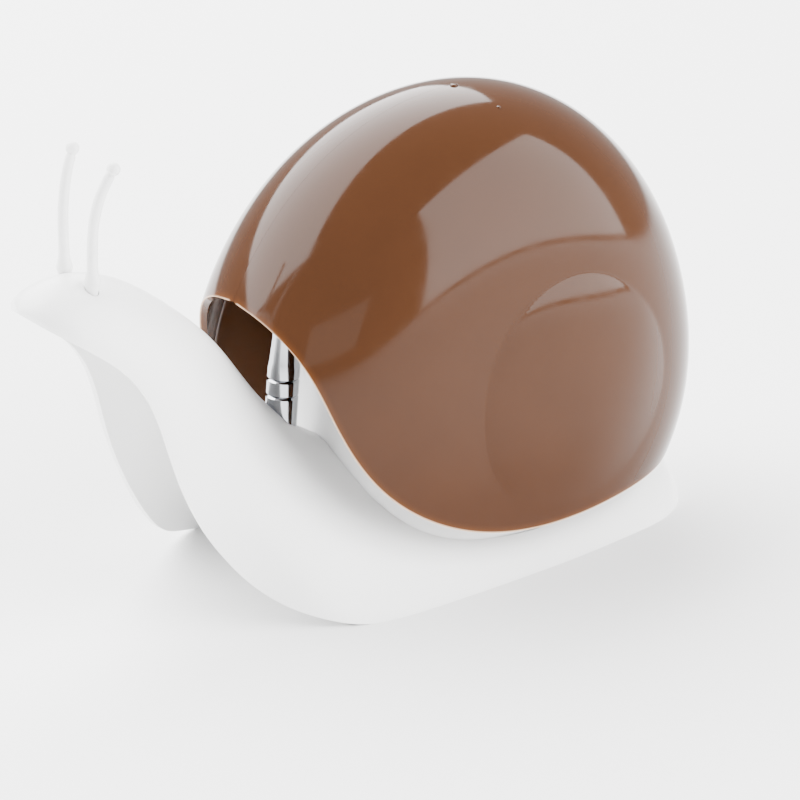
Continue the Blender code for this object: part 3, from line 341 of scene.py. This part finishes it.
def rod(name, route, radius, radii=None, sides=24):
    """A round bar along a route, closed at both ends; radii are factors of the radius."""
    points, faces = [], []
    route = [Vector(p) for p in route]
    across = Vector((0.0, 1.0, 0.0))
    for i, point in enumerate(route):
        way = (route[min(i + 1, len(route) - 1)] - route[max(i - 1, 0)]).normalized()
        other = way.cross(across).normalized()
        level = other.cross(way).normalized()
        size = radius * (1.0 if radii is None else radii[i])
        for k in range(sides):
            turn = 2 * pi * k / sides
            points.append(point + (other * cos(turn) + level * sin(turn)) * size)
    for i in range(len(route) - 1):
        for k in range(sides):
            j = (k + 1) % sides
            faces.append((i * sides + k, i * sides + j, (i + 1) * sides + j, (i + 1) * sides + k))
    faces.append(tuple(reversed(range(sides))))
    last = (len(route) - 1) * sides
    faces.append(tuple(range(last, last + sides)))
    return face_outwards(mesh_object(name, points, faces))


def turned(name, profile, steps):
    """A ring turned about Z from a closed (radius, height) profile."""
    points, faces = [], []
    count = len(profile)
    for i in range(steps):
        turn = 2 * pi * i / steps
        points += [(r * cos(turn), r * sin(turn), z) for r, z in profile]
    for i in range(steps):
        a, b = i * count, ((i + 1) % steps) * count
        for k in range(count):
            j = (k + 1) % count
            faces.append((a + k, a + j, b + j, b + k))
    return mesh_object(name, points, faces)


# ---------------------------------------------------------------- materials
NOISE_LOW, NOISE_HIGH = 0.3, 0.7   # the range that noise mostly keeps to


class Shader:
    """A Principled material with short calls for its node tree."""

    def __init__(self, name, colour, roughness, metallic=0.0, **sockets):
        self.mat = bpy.data.materials.new(name)
        self.mat.use_nodes = True
        self.tree = self.mat.node_tree
        self.principled = self.tree.nodes["Principled BSDF"]
        self.set("Base Color", (*colour, 1.0))
        self.set("Roughness", roughness)
        self.set("Metallic", metallic)
        for socket, value in sockets.items():
            self.set(socket.replace("_", " "), value)

    def set(self, socket, value):
        self.principled.inputs[socket].default_value = value

    def node(self, kind, **inputs):
        node = self.tree.nodes.new(kind)
        for socket, value in inputs.items():
            node.inputs[socket.replace("_", " ")].default_value = value
        return node

    def link(self, source, target):
        self.tree.links.new(source, target)

    def noise(self, scale, detail=3.0, roughness=0.5):
        place = self.node("ShaderNodeTexCoord")
        noise = self.node("ShaderNodeTexNoise", Scale=scale, Detail=detail, Roughness=roughness)
        self.link(place.outputs["Object"], noise.inputs["Vector"])
        return noise.outputs["Fac"]

    def spread(self, value, low, high):
        """The middle of the noise's range, stretched to low..high."""
        node = self.node("ShaderNodeMapRange", From_Min=NOISE_LOW, From_Max=NOISE_HIGH,
                         To_Min=low, To_Max=high)
        self.link(value, node.inputs["Value"])
        return node.outputs["Result"]

    def bump(self, height, strength, distance):
        node = self.node("ShaderNodeBump", Strength=strength, Distance=distance)
        self.link(height, node.inputs["Height"])
        self.link(node.outputs["Normal"], self.principled.inputs["Normal"])

    def speckled(self, scale, colour, spread):
        """The colour, a little darker and lighter from place to place."""
        ramp = self.node("ShaderNodeValToRGB")
        dark, light = ramp.color_ramp.elements
        for stop, place, factor in ((dark, NOISE_LOW, 1 - spread), (light, NOISE_HIGH, 1 + spread)):
            stop.position = place
            stop.color = (*(factor * c for c in colour), 1.0)
        self.link(self.noise(scale, detail=4.0), ramp.inputs["Fac"])
        return ramp.outputs["Color"]

    def blend(self, factor, colour, other):
        """The colour of one socket, turned by the factor to another, fixed colour."""
        mix = self.node("ShaderNodeMix")
        mix.data_type = 'RGBA'
        factor_in, colour_in, other_in = mix.inputs[0], mix.inputs[6], mix.inputs[7]
        other_in.default_value = (*other, 1.0)
        self.link(factor, factor_in)
        self.link(colour, colour_in)
        return mix.outputs[2]

    def finish(self, colour, roughness):
        """Colour and roughness from the sockets given."""
        self.link(colour, self.principled.inputs["Base Color"])
        self.link(roughness, self.principled.inputs["Roughness"])


def moulded(name, colour, roughness, speckle=0.03, ripple=0.05, **sockets):
    """Injection-moulded plastic: faint flow marks in the colour, and a long soft ripple in the surface."""
    shader = Shader(name, colour, roughness, **sockets)
    gloss = shader.spread(shader.noise(scale=260.0, detail=2.0), roughness * 0.85, roughness * 1.2)
    shader.finish(shader.speckled(70.0, colour, speckle), gloss)
    shader.bump(shader.noise(scale=45.0, detail=2.0), strength=ripple, distance=0.0004)
    return shader.mat


def glossy_cover(name, colour, painted_glow_colour, painted_highlight_colour):
    """High-gloss moulding, with painted light at its thin rim: a painted warm glow a little way in, standing
    for light coming through the wall, and a painted pale highlight along the very edge.
    """
    shader = Shader(name, colour, 0.09, Specular_IOR_Level=0.17)
    rim = shader.node("ShaderNodeAttribute")
    rim.attribute_name = "rim"
    # painted glow: warmer colour near the thin rim, standing for light coming through the wall
    painted_glow_share = shader.node("ShaderNodeMath")
    painted_glow_share.operation = 'POWER'
    painted_glow_share.inputs[1].default_value = 2.0
    shader.link(rim.outputs["Fac"], painted_glow_share.inputs[0])
    # painted highlight: the colour turns pale along the rim's very edge, where the rim catches the light
    painted_highlight_share = shader.node("ShaderNodeMapRange", From_Min=0.80, From_Max=0.95)
    shader.link(rim.outputs["Fac"], painted_highlight_share.inputs["Value"])
    with_painted_glow = shader.blend(painted_glow_share.outputs["Value"], shader.speckled(60.0, colour, 0.04), painted_glow_colour)
    with_painted_highlight = shader.blend(painted_highlight_share.outputs["Result"], with_painted_glow, painted_highlight_colour)
    shader.finish(with_painted_highlight, shader.spread(shader.noise(scale=240.0, detail=2.0), 0.07, 0.12))
    shader.bump(shader.noise(scale=38.0, detail=1.0), strength=0.05, distance=0.0004)
    return shader.mat


def plated(name, colour, roughness):
    """Polished or drawn metal with faint uneven gloss."""
    shader = Shader(name, colour, roughness, 1.0)
    gloss = shader.spread(shader.noise(scale=400.0), roughness * 0.7, roughness * 1.4)
    shader.link(gloss, shader.principled.inputs["Roughness"])
    shader.bump(shader.noise(scale=220.0, detail=2.0), strength=0.04, distance=0.0002)
    return shader.mat


def soft_light(weight, depth):
    """Sockets for light that goes a little way into the plastic, the same depth for each colour."""
    return {"Subsurface_Weight": weight, "Subsurface_Radius": (depth, depth, depth), "Subsurface_Scale": 1.0}


def make_materials():
    return {
        "white_body": moulded("white_gloss_plastic", (0.90, 0.90, 0.895), 0.36, speckle=0.008, ripple=0.03,
                              Coat_Weight=0.12, Coat_Roughness=0.2, **soft_light(0.15, 0.004)),
        "white_feeler": moulded("white_soft_plastic", (0.86, 0.86, 0.855), 0.42, speckle=0.01, ripple=0.04,
                                **soft_light(0.3, 0.003)),
        # brown shell colour, with a painted warm glow near the rim and a painted pale highlight along its
        # edge
        "brown_shell": glossy_cover("brown_gloss_plastic", (0.047, 0.0170, 0.0060),
                                    painted_glow_colour=(0.105, 0.034, 0.009), painted_highlight_colour=(0.62, 0.42, 0.28)),
        "brown_inner": moulded("brown_plain_plastic", (0.15, 0.06, 0.035), 0.40),
        "chrome_spout": plated("chrome_plating", (0.42, 0.43, 0.45), 0.12),
        "steel": plated("stainless_steel", (0.56, 0.56, 0.57), 0.28),
        "grey_rubber": moulded("soft_rubber", (0.62, 0.62, 0.61), 0.65, speckle=0.05, ripple=0.2),
        "milky_plastic": moulded("milky_plastic", (0.88, 0.88, 0.875), 0.36, speckle=0.01,
                                 **soft_light(0.3, 0.004)),
        "white_plastic": moulded("white_plain_plastic", (0.80, 0.80, 0.79), 0.45, speckle=0.02, ripple=0.1),
    }


MATERIALS = make_materials()
SLOT_OF = {part["node"]: part["material_slot"] for part in frame["record"]["subparts"]}


def finish_piece(obj, body, slot, *nodes):
    """Material, body and slot of a piece, and the frame's nodes that it stands in for."""
    obj.data.materials.clear()
    obj.data.materials.append(MATERIALS[slot])
    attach(obj, body)
    if nodes:
        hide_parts(*nodes)


# ---------------------------------------------------------------- body
def body_surface():
    """Points (sections, across, 3) of the half body at -Y, from its edge to its ridge."""
    scale = (LENGTH, WIDTH, HEIGHT, LENGTH, HEIGHT, 1.0, 1.0)
    rows = through(np.array(BODY_STATIONS) * scale, BODY_SECTIONS, weights=(1, 1, 1, 1, 1, 0, 0))
    rows[:, [1, 2, 4]] = np.maximum(rows[:, [1, 2, 4]], 0.0)
    rows[:, 1] = np.minimum(rows[:, 1], WIDTH / 2)
    ex, ey, ez, rx, rz, across, up = (column[:, None] for column in rows.T)
    q = np.cos(np.linspace(0.0, pi / 2, BODY_SECTION_POINTS))[None, :]
    h = np.maximum(0.0, 1.0 - q**across) ** up
    return np.stack([ex + (rx - ex) * h, -ey * q, ez + (rz - ez) * h], axis=-1)


def grid_faces(rows, columns):
    index = np.arange(rows * columns).reshape(rows, columns)
    a, b, c, d = index[:-1, :-1], index[1:, :-1], index[1:, 1:], index[:-1, 1:]
    return np.stack([a, b, c, d], axis=-1).reshape(-1, 4).tolist()


def post_into_wall(name, wall_obj, radius, bottom, x, y, sides=ROUND_SIDES):
    """A vertical post from a height up to the middle of the wall above it."""
    tree = BVHTree.FromObject(wall_obj, bpy.context.evaluated_depsgraph_get())

    def on_ring(share, k):
        turn = 2 * pi * k / sides
        return x + share * radius * cos(turn), y + share * radius * sin(turn)

    def in_wall(px, py):
        hit = tree.ray_cast(Vector((px, py, bottom)), Vector((0.0, 0.0, 1.0)))[0]
        return px, py, hit.z + BODY_WALL / 2

    points, faces = [in_wall(x, y)], []
    points += [in_wall(*on_ring(share, k)) for share in BOSS_RINGS[1:] for k in range(sides)]
    outer, base = 1 + (len(BOSS_RINGS) - 2) * sides, len(points)
    points += [(*on_ring(1.0, k), bottom) for k in range(sides)]
    for k in range(sides):
        j = (k + 1) % sides
        faces.append((0, 1 + k, 1 + j))
        for ring in range(len(BOSS_RINGS) - 2):
            low, high = 1 + ring * sides, 1 + (ring + 1) * sides
            faces.append((low + k, high + k, high + j, low + j))
        faces.append((outer + k, base + k, base + j, outer + j))
    faces.append(tuple(base + k for k in reversed(range(sides))))
    return mesh_object(name, points, faces)


def drum(name, radius, bottom, top, x=0.0, y=0.0, sides=ROUND_SIDES):
    return rod(name, [(x, y, bottom), (x, y, top)], radius, sides=sides)


def box_between(name, low, high):
    points = [(x, y, z) for x in (low[0], high[0]) for y in (low[1], high[1]) for z in (low[2], high[2])]
    return mesh_object(name, points,
                       [(0, 1, 3, 2), (4, 6, 7, 5), (0, 4, 5, 1), (2, 3, 7, 6), (0, 2, 6, 4), (1, 5, 7, 3)])


def bosses(skin):
    """Posts under the wall that hold the gland and the base's screws, and the holes sunk into them."""
    gland_low, gland_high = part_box("neck_gland")
    seal_low, seal_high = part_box("gland_seal")
    foot, x = gland_low.z, (seal_low.x + seal_high.x) / 2
    posts = [post_into_wall("gland_boss", skin, gland_high.y, foot + GLAND_BOSS_RISE, x, 0.0)]
    wells = [drum("gland_well", seal_high.y + CLEARANCE, foot + GLAND_WELL_RISE,
                  seal_high.z + GLAND_WELL_ROOM, x)]
    plate_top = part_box("base_plate")[1].z
    boss_sides, pilot_sides = SCREW_SIDES
    for i in range(1, 5):
        low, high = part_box(f"base_screw_{i}")
        x, y = (low.x + high.x) / 2, (low.y + high.y) / 2
        posts.append(post_into_wall(f"base_boss_{i}", skin, SCREW_BOSS_RADIUS, plate_top + CLEARANCE,
                                    x, y, boss_sides))
        wells.append(drum(f"base_pilot_{i}", SCREW_PILOT_RADIUS, plate_top, high.z + CLEARANCE,
                          x, y, pilot_sides))
    return posts, wells


def body_holes():
    """What is cut out of the body: below the floor, for the nozzle, round the bottle, for the feelers."""
    half_length, half_width, depth = FLOOR_CUT
    floor = box_between("floor_cut", (-half_length, -half_width, -depth), (half_length, half_width, 0.0))
    nozzle_hole = drum("nozzle_hole", NOZZLE_RADIUS + NOZZLE_HOLE_CLEARANCE, *NOZZLE_HOLE_SPAN)
    nozzle_hole.matrix_world = nozzle_place() @ Matrix.Translation((0.0, 0.0, NOZZLE_HOLE_MIDDLE))
    low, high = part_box("reservoir_bottle")
    outline = rounded_outline((high.x + low.x) / 2, (high.x - low.x) / 2 + MOUTH_GAP, high.y + MOUTH_GAP,
                              BOTTLE_ROUNDNESS)
    mouth = prism("bottle_mouth", outline, *MOUTH_SPAN)
    below, above = SOCKET_REACH
    sockets = []
    for side in (-1, 1):
        x, y, z = feeler_route(side)[0]
        sockets.append(drum(f"feeler_socket_{side}", SOCKET_RADIUS, z - below, z + above, x, y, SOCKET_SIDES))
    return floor, nozzle_hole, mouth, sockets


def make_body():
    points = body_surface()
    rows, columns = points.shape[:2]
    skin = mesh_object("body_moulding", points.reshape(-1, 3), grid_faces(rows, columns))
    bm = bmesh.new()
    bm.from_mesh(skin.data)
    bmesh.ops.remove_doubles(bm, verts=bm.verts, dist=SKIN_WELD)
    bmesh.ops.dissolve_degenerate(bm, dist=WELD, edges=bm.edges)
    bm.to_mesh(skin.data)
    bm.free()
    skin = mirrored_wall(skin, BODY_WALL)
    posts, wells = bosses(skin)
    skin = combine(skin, posts, 'UNION')
    floor, nozzle_hole, mouth, sockets = body_holes()
    skin = combine(skin, [floor, nozzle_hole, mouth, *wells, *sockets], 'DIFFERENCE')
    low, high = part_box("reservoir_bottle")

    def at_bottle(edge):
        middle = (edge.verts[0].co + edge.verts[1].co) / 2
        return (low.x - BOTTLE_MARGIN < middle.x < high.x + BOTTLE_MARGIN
                and abs(middle.y) < high.y + BOTTLE_MARGIN)

    finish_piece(soften(skin, BODY_ROUNDING, at_bottle), "base", "white_body", "body")


def rounded_outline(x, half_x, half_y, roundness, count=BOTTLE_SIDES):
    """Points (x, y) of a superellipse centred on (x, 0)."""
    turn = np.linspace(0.0, 2 * pi, count, endpoint=False)
    c, s = np.cos(turn), np.sin(turn)
    power = 2 / roundness
    return list(zip(x + half_x * np.sign(c) * np.abs(c) ** power, half_y * np.sign(s) * np.abs(s) ** power))


def bottle_rings(low, high):
    """(z, middle x, half length, half width) of the bottle from its foot to its neck's top."""
    pump_x = (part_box("stem")[0].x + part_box("stem")[1].x) / 2
    x, a, b = (low.x + high.x) / 2, (high.x - low.x) / 2, high.y
    neck, corner = BOTTLE_NECK_RADIUS, BOTTLE_CORNER
    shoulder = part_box("collar")[0].z - BOTTLE_COLLAR_GAP - BOTTLE_SHOULDER
    corner_steps, shoulder_steps = BOTTLE_STEPS
    rings = []
    for turn in np.linspace(0.0, pi / 2, corner_steps + 1):
        inset = corner * (1 - sin(turn))
        rings.append((low.z + corner * (1 - cos(turn)), x, a - inset, b - inset))
    rings.append((shoulder, x, a, b))
    for turn in np.linspace(0.0, pi / 2, shoulder_steps + 1)[1:]:
        drop = 1 - cos(turn)
        rings.append((shoulder + BOTTLE_SHOULDER * sin(turn), x + (pump_x - x) * drop, a + (neck - a) * drop,
                      b + (neck - b) * drop))
    rings.append((high.z, pump_x, neck, neck))
    return rings


def make_bottle():
    """The reservoir, with the shape of the frame's bottle and finer rounds."""
    low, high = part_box("reservoir_bottle")
    rings = bottle_rings(low, high)
    points, faces, count = [], [], BOTTLE_SIDES
    for z, mid, half_x, half_y in rings:
        roundness = np.interp(half_y, (BOTTLE_NECK_RADIUS, high.y - BOTTLE_CORNER), (2.0, BOTTLE_ROUNDNESS))
        points += [(px, py, z) for px, py in rounded_outline(mid, half_x, half_y, roundness)]
    for i in range(len(rings) - 1):
        for k in range(count):
            j = (k + 1) % count
            faces.append((i * count + k, i * count + j, (i + 1) * count + j, (i + 1) * count + k))
    faces.append(tuple(reversed(range(count))))
    bottle = solid_wall(mesh_object("soap_bottle", points, faces), BOTTLE_WALL)
    shade_smooth(bottle)
    finish_piece(bottle, "base", "milky_plastic", "reservoir_bottle")


def prism(name, outline, bottom, top):
    count = len(outline)
    points = [(x, y, bottom) for x, y in outline] + [(x, y, top) for x, y in outline]
    faces = [tuple(reversed(range(count))), tuple(range(count, 2 * count))]
    faces += [(k, (k + 1) % count, count + (k + 1) % count, count + k) for k in range(count)]
    return mesh_object(name, points, faces)


# ---------------------------------------------------------------- shell
def shell_radius(angle):
    """Radius of the shell's side outline at an angle or angles, in radians, about its centre."""
    degrees, radii = (np.array(column, float) for column in zip(*SHELL_RADII))
    knots = np.concatenate([degrees[:-1] - 360, degrees, degrees[1:] + 360])
    values = np.concatenate([radii[:-1], radii, radii[1:]])[:, None]
    return natural_spline(np.atleast_1d(np.degrees(angle)), knots, values)[:, 0] * HEIGHT


def whorl_bulge(x, z):
    """How far the coiled boss stands out of the shell's side, over arrays of points of the side view."""
    dx, dz = x - WHORL_CENTRE[0], z - WHORL_CENTRE[1]
    degrees, radii = np.array(WHORL_RADII, float).T
    angle = (np.degrees(np.arctan2(dz, dx)) - degrees[0]) % 360 + degrees[0]
    edge = natural_spline(angle.ravel(), degrees, radii[:, None]).reshape(angle.shape) * HEIGHT
    clear = np.interp(angle, *zip(*WHORL_STEP))
    clear = clear * clear * (3.0 - 2.0 * clear)
    inside = np.maximum(0.0, 1.0 - (np.hypot(dx, dz) / edge) ** 2)
    return WHORL_HEIGHT * inside ** np.interp(clear, (0.0, 1.0), WHORL_POWERS)


def shell_surface():
    """Spokes (turns, rings, 3) of the half shell at -Y, from near its hub to its edge."""
    points = through([(x * LENGTH, z * HEIGHT) for x, z in SHELL_EDGE], SHELL_EDGE_POINTS)
    dx, dz = points[:, 0] - SHELL_CENTRE[0], points[:, 1] - SHELL_CENTRE[1]
    angles = np.unwrap(np.arctan2(dz, dx) % (2 * pi))
    share = np.minimum(1.0, np.hypot(dx, dz) / shell_radius(angles))
    share[[0, -1]] = 1.0
    along = np.column_stack([dx, dz, SHELL_HALF_WIDTH * np.sqrt(1.0 - share**SHELL_FULLNESS)])
    chord = np.concatenate([[0.0], np.cumsum(np.linalg.norm(np.diff(along, axis=0), axis=1))])
    crown = np.linspace(angles[-1] - 2 * pi, angles[0], SHELL_ARC_STEPS[0] + 1)
    lower = np.interp(np.linspace(0, chord[-1], SHELL_ARC_STEPS[1] + 1)[1:-1], chord, angles)
    turn = np.concatenate([crown, lower])
    reach = np.concatenate([np.ones(len(crown)), np.interp(lower, angles, share)])
    spread = np.arcsin(reach ** (SHELL_FULLNESS / 2))[:, None]
    t = spread * (np.arange(1, SHELL_RINGS + 1)[None, :] / SHELL_RINGS) ** SHELL_RING_POWER
    rho = np.sin(t) ** (2 / SHELL_FULLNESS)
    radius = shell_radius(turn)[:, None] * rho
    x = SHELL_CENTRE[0] + radius * np.cos(turn)[:, None]
    z = SHELL_CENTRE[1] + radius * np.sin(turn)[:, None]
    y = (SHELL_HALF_WIDTH - SHELL_SEAM) * np.cos(t) + SHELL_SEAM + whorl_bulge(x, z)
    y[:len(crown), -1] = SHELL_SEAM
    return np.stack([x, -y, z], axis=-1)


def on_seam(edge):
    return all(abs(vert.co.y) < SEAM_BAND for vert in edge.verts)


def make_shell():
    surface = shell_surface()
    turns, rings = surface.shape[:2]
    hub_bulge = whorl_bulge(np.array([SHELL_CENTRE[0]]), np.array([SHELL_CENTRE[1]]))[0]
    faces = []
    for i in range(turns):
        j = (i + 1) % turns
        faces.append((turns * rings, i * rings, j * rings))
        for k in range(rings - 1):
            faces.append((i * rings + k, i * rings + k + 1, j * rings + k + 1, j * rings + k))
    points = surface.reshape(-1, 3).tolist()
    points.append([SHELL_CENTRE[0], -SHELL_HALF_WIDTH - float(hub_bulge), SHELL_CENTRE[1]])
    for name, node, side in (("shell_cover_left", "shell_left", 1), ("shell_cover_right", "shell_right", -1)):
        placed = [(x, side * y, z) for x, y, z in points]
        ordered = faces if side > 0 else [tuple(reversed(face)) for face in faces]
        half = solid_wall(mesh_object(name, placed, ordered), SHELL_WALL)
        half = soften(half, RIM_ROUNDING, on_seam)
        mark_rim(half, [Vector((x, side * y, z)) for x, y, z in surface[:, -1] if abs(y) > SEAM_BAND])
        finish_piece(half, "press", "brown_shell", node)


def mark_rim(obj, edge_points):
    """Stores how near each vertex is to the cover's lower rim, from 1 on it to 0 a little way in."""
    tree = KDTree(len(edge_points))
    for i, point in enumerate(edge_points):
        tree.insert(point, i)
    tree.balance()
    rim = obj.data.attributes.new("rim", 'FLOAT', 'POINT')
    for vert, item in zip(obj.data.vertices, rim.data):
        item.value = max(0.0, 1.0 - tree.find(vert.co)[2] / RIM_REACH)


def make_gate_marks():
    """Two small moulding marks on top of the near half."""
    shoulder, top = GATE_MARK_HEIGHTS
    for number, (angle, y, size) in enumerate(GATE_MARKS, 1):
        reach = (1.0 - (abs(y) / SHELL_HALF_WIDTH) ** 2) ** (1 / SHELL_FULLNESS)
        radius = float(shell_radius(angle)[0]) * reach
        x, z = SHELL_CENTRE[0] + radius * cos(angle), SHELL_CENTRE[1] + radius * sin(angle)
        route = [(x, y, z - GATE_MARK_SINK), (x, y, z + shoulder * size), (x, y, z + top * size)]
        mark = rod(f"gate_mark_{number}", route, size, (1.0, 1.0, GATE_MARK_TOP), GATE_MARK_SIDES)
        mark.data.shade_smooth()
        finish_piece(mark, "press", "brown_shell")


# ---------------------------------------------------------------- feelers and nozzle
def feeler_route(side):
    return [(x * LENGTH, side * y * WIDTH, z * HEIGHT) for x, y, z in FEELER_ROUTE]


def make_feeler(name, node, side):
    """A soft stem with a ring near its foot and a ball at its tip."""
    route = [Vector(p) for p in through(feeler_route(side), FEELER_POINTS)]
    tip, way = route[-1], (route[-1] - route[-2]).normalized()
    radii = []
    for point in route:
        rise = point.z - route[0].z
        flare = max(0.0, 1.0 - abs(rise - FEELER_FLARE_RISE) / FEELER_FLARE_HALF)
        taper = FEELER_TAPER * rise / FEELER_FREE_LENGTH
        radii.append(1.0 + FEELER_FLARE * flare**FEELER_FLARE_POWER - taper)
    stem = [i for i, p in enumerate(route) if (tip - p).length > FEELER_BALL_JOIN * FEELER_BALL_RADIUS]
    route, radii = [route[i] for i in stem], [radii[i] for i in stem]
    for k in range(FEELER_BALL_STEPS + 1):
        turn = (FEELER_BALL_START + FEELER_BALL_TURNS * k / FEELER_BALL_STEPS) * pi / 2
        route.append(tip + way * (FEELER_BALL_RADIUS * sin(turn)))
        radii.append(max(FEELER_BALL_FLAT, cos(turn)) * FEELER_BALL_RADIUS / FEELER_STEM_RADIUS)
    feeler = rod(name, route, FEELER_STEM_RADIUS, radii)
    feeler.data.shade_smooth()
    finish_piece(feeler, "base", "white_feeler", node)


def nozzle_place():
    return Matrix.Translation(NOZZLE_FOOT) @ Matrix.Rotation(NOZZLE_TILT, 4, 'Y')


def make_nozzle():
    """Chrome tube with a narrower neck and two ring grooves, bored through in two sizes."""
    r, neck, (fine, wide) = NOZZLE_RADIUS, NOZZLE_NECK_RADIUS, NOZZLE_BORES
    half, depth, (slope_half, slope_depth) = GROOVE_HALF, GROOVE_DEPTH, GROOVE_SLOPE
    profile = [(wide, NOZZLE_LENGTH), (neck, NOZZLE_LENGTH)]
    profile += [(neck + more, height) for height, more in NOZZLE_SHOULDER]
    profile += [(r - less, height) for height, less in NOZZLE_SHOULDER_FOOT]
    for height in reversed(NOZZLE_GROOVES):
        profile += [(r, height + half), (r - slope_depth, height + slope_half), (r - depth, height),
                    (r - slope_depth, height - slope_half), (r, height - half)]
    profile += [(r, NOZZLE_CHAMFER), (r - NOZZLE_CHAMFER, 0.0), (fine, 0.0), (fine, NOZZLE_BORE_STEP),
                (wide, NOZZLE_BORE_STEP)]
    nozzle = face_outwards(turned("chrome_nozzle", list(reversed(profile)), NOZZLE_SIDES))
    nozzle.matrix_world = nozzle_place()
    nozzle = baked(nozzle)
    shade_smooth(nozzle, NOZZLE_SHARP)
    finish_piece(nozzle, "press", "chrome_spout", "delivery_nozzle")


def make_spring():
    """Open turns of wire for the return spring, which the pressed cover shortens; this coil keeps one length.
    """
    low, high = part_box("return_spring")
    x, radius = (low.x + high.x) / 2, high.y - SPRING_WIRE
    bottom, top = low.z + SPRING_WIRE, high.z - SPRING_WIRE
    steps = SPRING_TURNS * SPRING_STEPS
    route = []
    for i in range(steps + 1):
        turn = 2 * pi * i / SPRING_STEPS
        route.append((x + radius * cos(turn), radius * sin(turn), bottom + (top - bottom) * (i / steps)))
    spring = wire("coil_spring", route, SPRING_WIRE)
    finish_piece(spring, "base", "steel", "return_spring")
    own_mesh(spring)


def wire(name, route, radius):
    """A round wire along a route, with closed ends."""
    curve = bpy.data.curves.new(name, 'CURVE')
    curve.dimensions = '3D'
    curve.bevel_depth = radius
    curve.bevel_resolution = SPRING_WIRE_STEPS
    curve.use_fill_caps = True
    spline = curve.splines.new('POLY')
    spline.points.add(len(route) - 1)
    for point, place in zip(spline.points, route):
        point.co = (*place, 1.0)
    obj = bpy.data.objects.new(name, curve)
    bpy.context.scene.collection.objects.link(obj)
    obj = baked(obj)
    obj.data.shade_smooth()
    return obj


# ---------------------------------------------------------------- studio
def make_stage():
    """A plain paper floor under an even, bright sky."""
    size = FLOOR_HALF
    floor = mesh_object("floor", [(-size, -size, 0), (size, -size, 0), (size, size, 0), (-size, size, 0)],
                        [(0, 1, 2, 3)])
    shader = Shader("paper", (PAPER, PAPER, PAPER), 0.9)
    shader.bump(shader.noise(scale=300.0), strength=0.05, distance=0.0005)
    floor.data.materials.append(shader.mat)
    world = bpy.data.worlds.new("studio")
    world.use_nodes = True
    background = world.node_tree.nodes["Background"]
    background.inputs["Color"].default_value = (1.0, 1.0, 1.0, 1.0)
    background.inputs["Strength"].default_value = SKY_STRENGTH
    bpy.context.scene.world = world


def softbox(name, side, height, distance, width, tall, radiance):
    """An even panel facing the object, at an angle round it (0 is straight ahead of the near side)."""
    side, height = radians(side), radians(height)
    back = Vector((sin(side) * cos(height), -cos(side) * cos(height), sin(height)))
    light = bpy.data.lights.new(name, 'AREA')
    light.shape = 'RECTANGLE'
    light.size, light.size_y = width, tall
    light.energy = radiance * pi * width * tall
    obj = bpy.data.objects.new(name, light)
    obj.location = LIGHT_AIM + back * distance
    obj.rotation_euler = (-back).to_track_quat('-Z', 'Y').to_euler()
    bpy.context.scene.collection.objects.link(obj)


def make_camera():
    """The photograph's view of the object."""
    right = Vector((cos(CAMERA_SIDE), -sin(CAMERA_SIDE), 0.0))
    back = Vector((-sin(CAMERA_SIDE) * cos(CAMERA_HEIGHT), -cos(CAMERA_SIDE) * cos(CAMERA_HEIGHT),
                   sin(CAMERA_HEIGHT)))
    up = back.cross(right)
    camera = bpy.data.objects.new("camera", bpy.data.cameras.new("camera"))
    turn = Matrix((right, up, back)).transposed().to_4x4()
    aim = right * CAMERA_AIM[0] + up * CAMERA_AIM[1]
    camera.matrix_world = Matrix.Translation(aim + back * CAMERA_DISTANCE) @ turn
    camera.data.lens = CAMERA_LENS
    camera.data.sensor_width = CAMERA_SENSOR
    camera.data.clip_start = CAMERA_NEAR
    bpy.context.scene.collection.objects.link(camera)
    bpy.context.scene.camera = camera


def main():
    make_camera()
    make_body()
    make_shell()
    make_gate_marks()
    make_bottle()
    make_feeler("feeler_near", "feeler_left", -1)
    make_feeler("feeler_far", "feeler_right", 1)
    make_nozzle()
    make_spring()
    for name, obj in NODES.items():
        obj.data.materials.clear()
        obj.data.materials.append(MATERIALS[SLOT_OF[name]])
    make_stage()
    for name, values in SOFTBOXES.items():
        softbox(name, *values)


main()
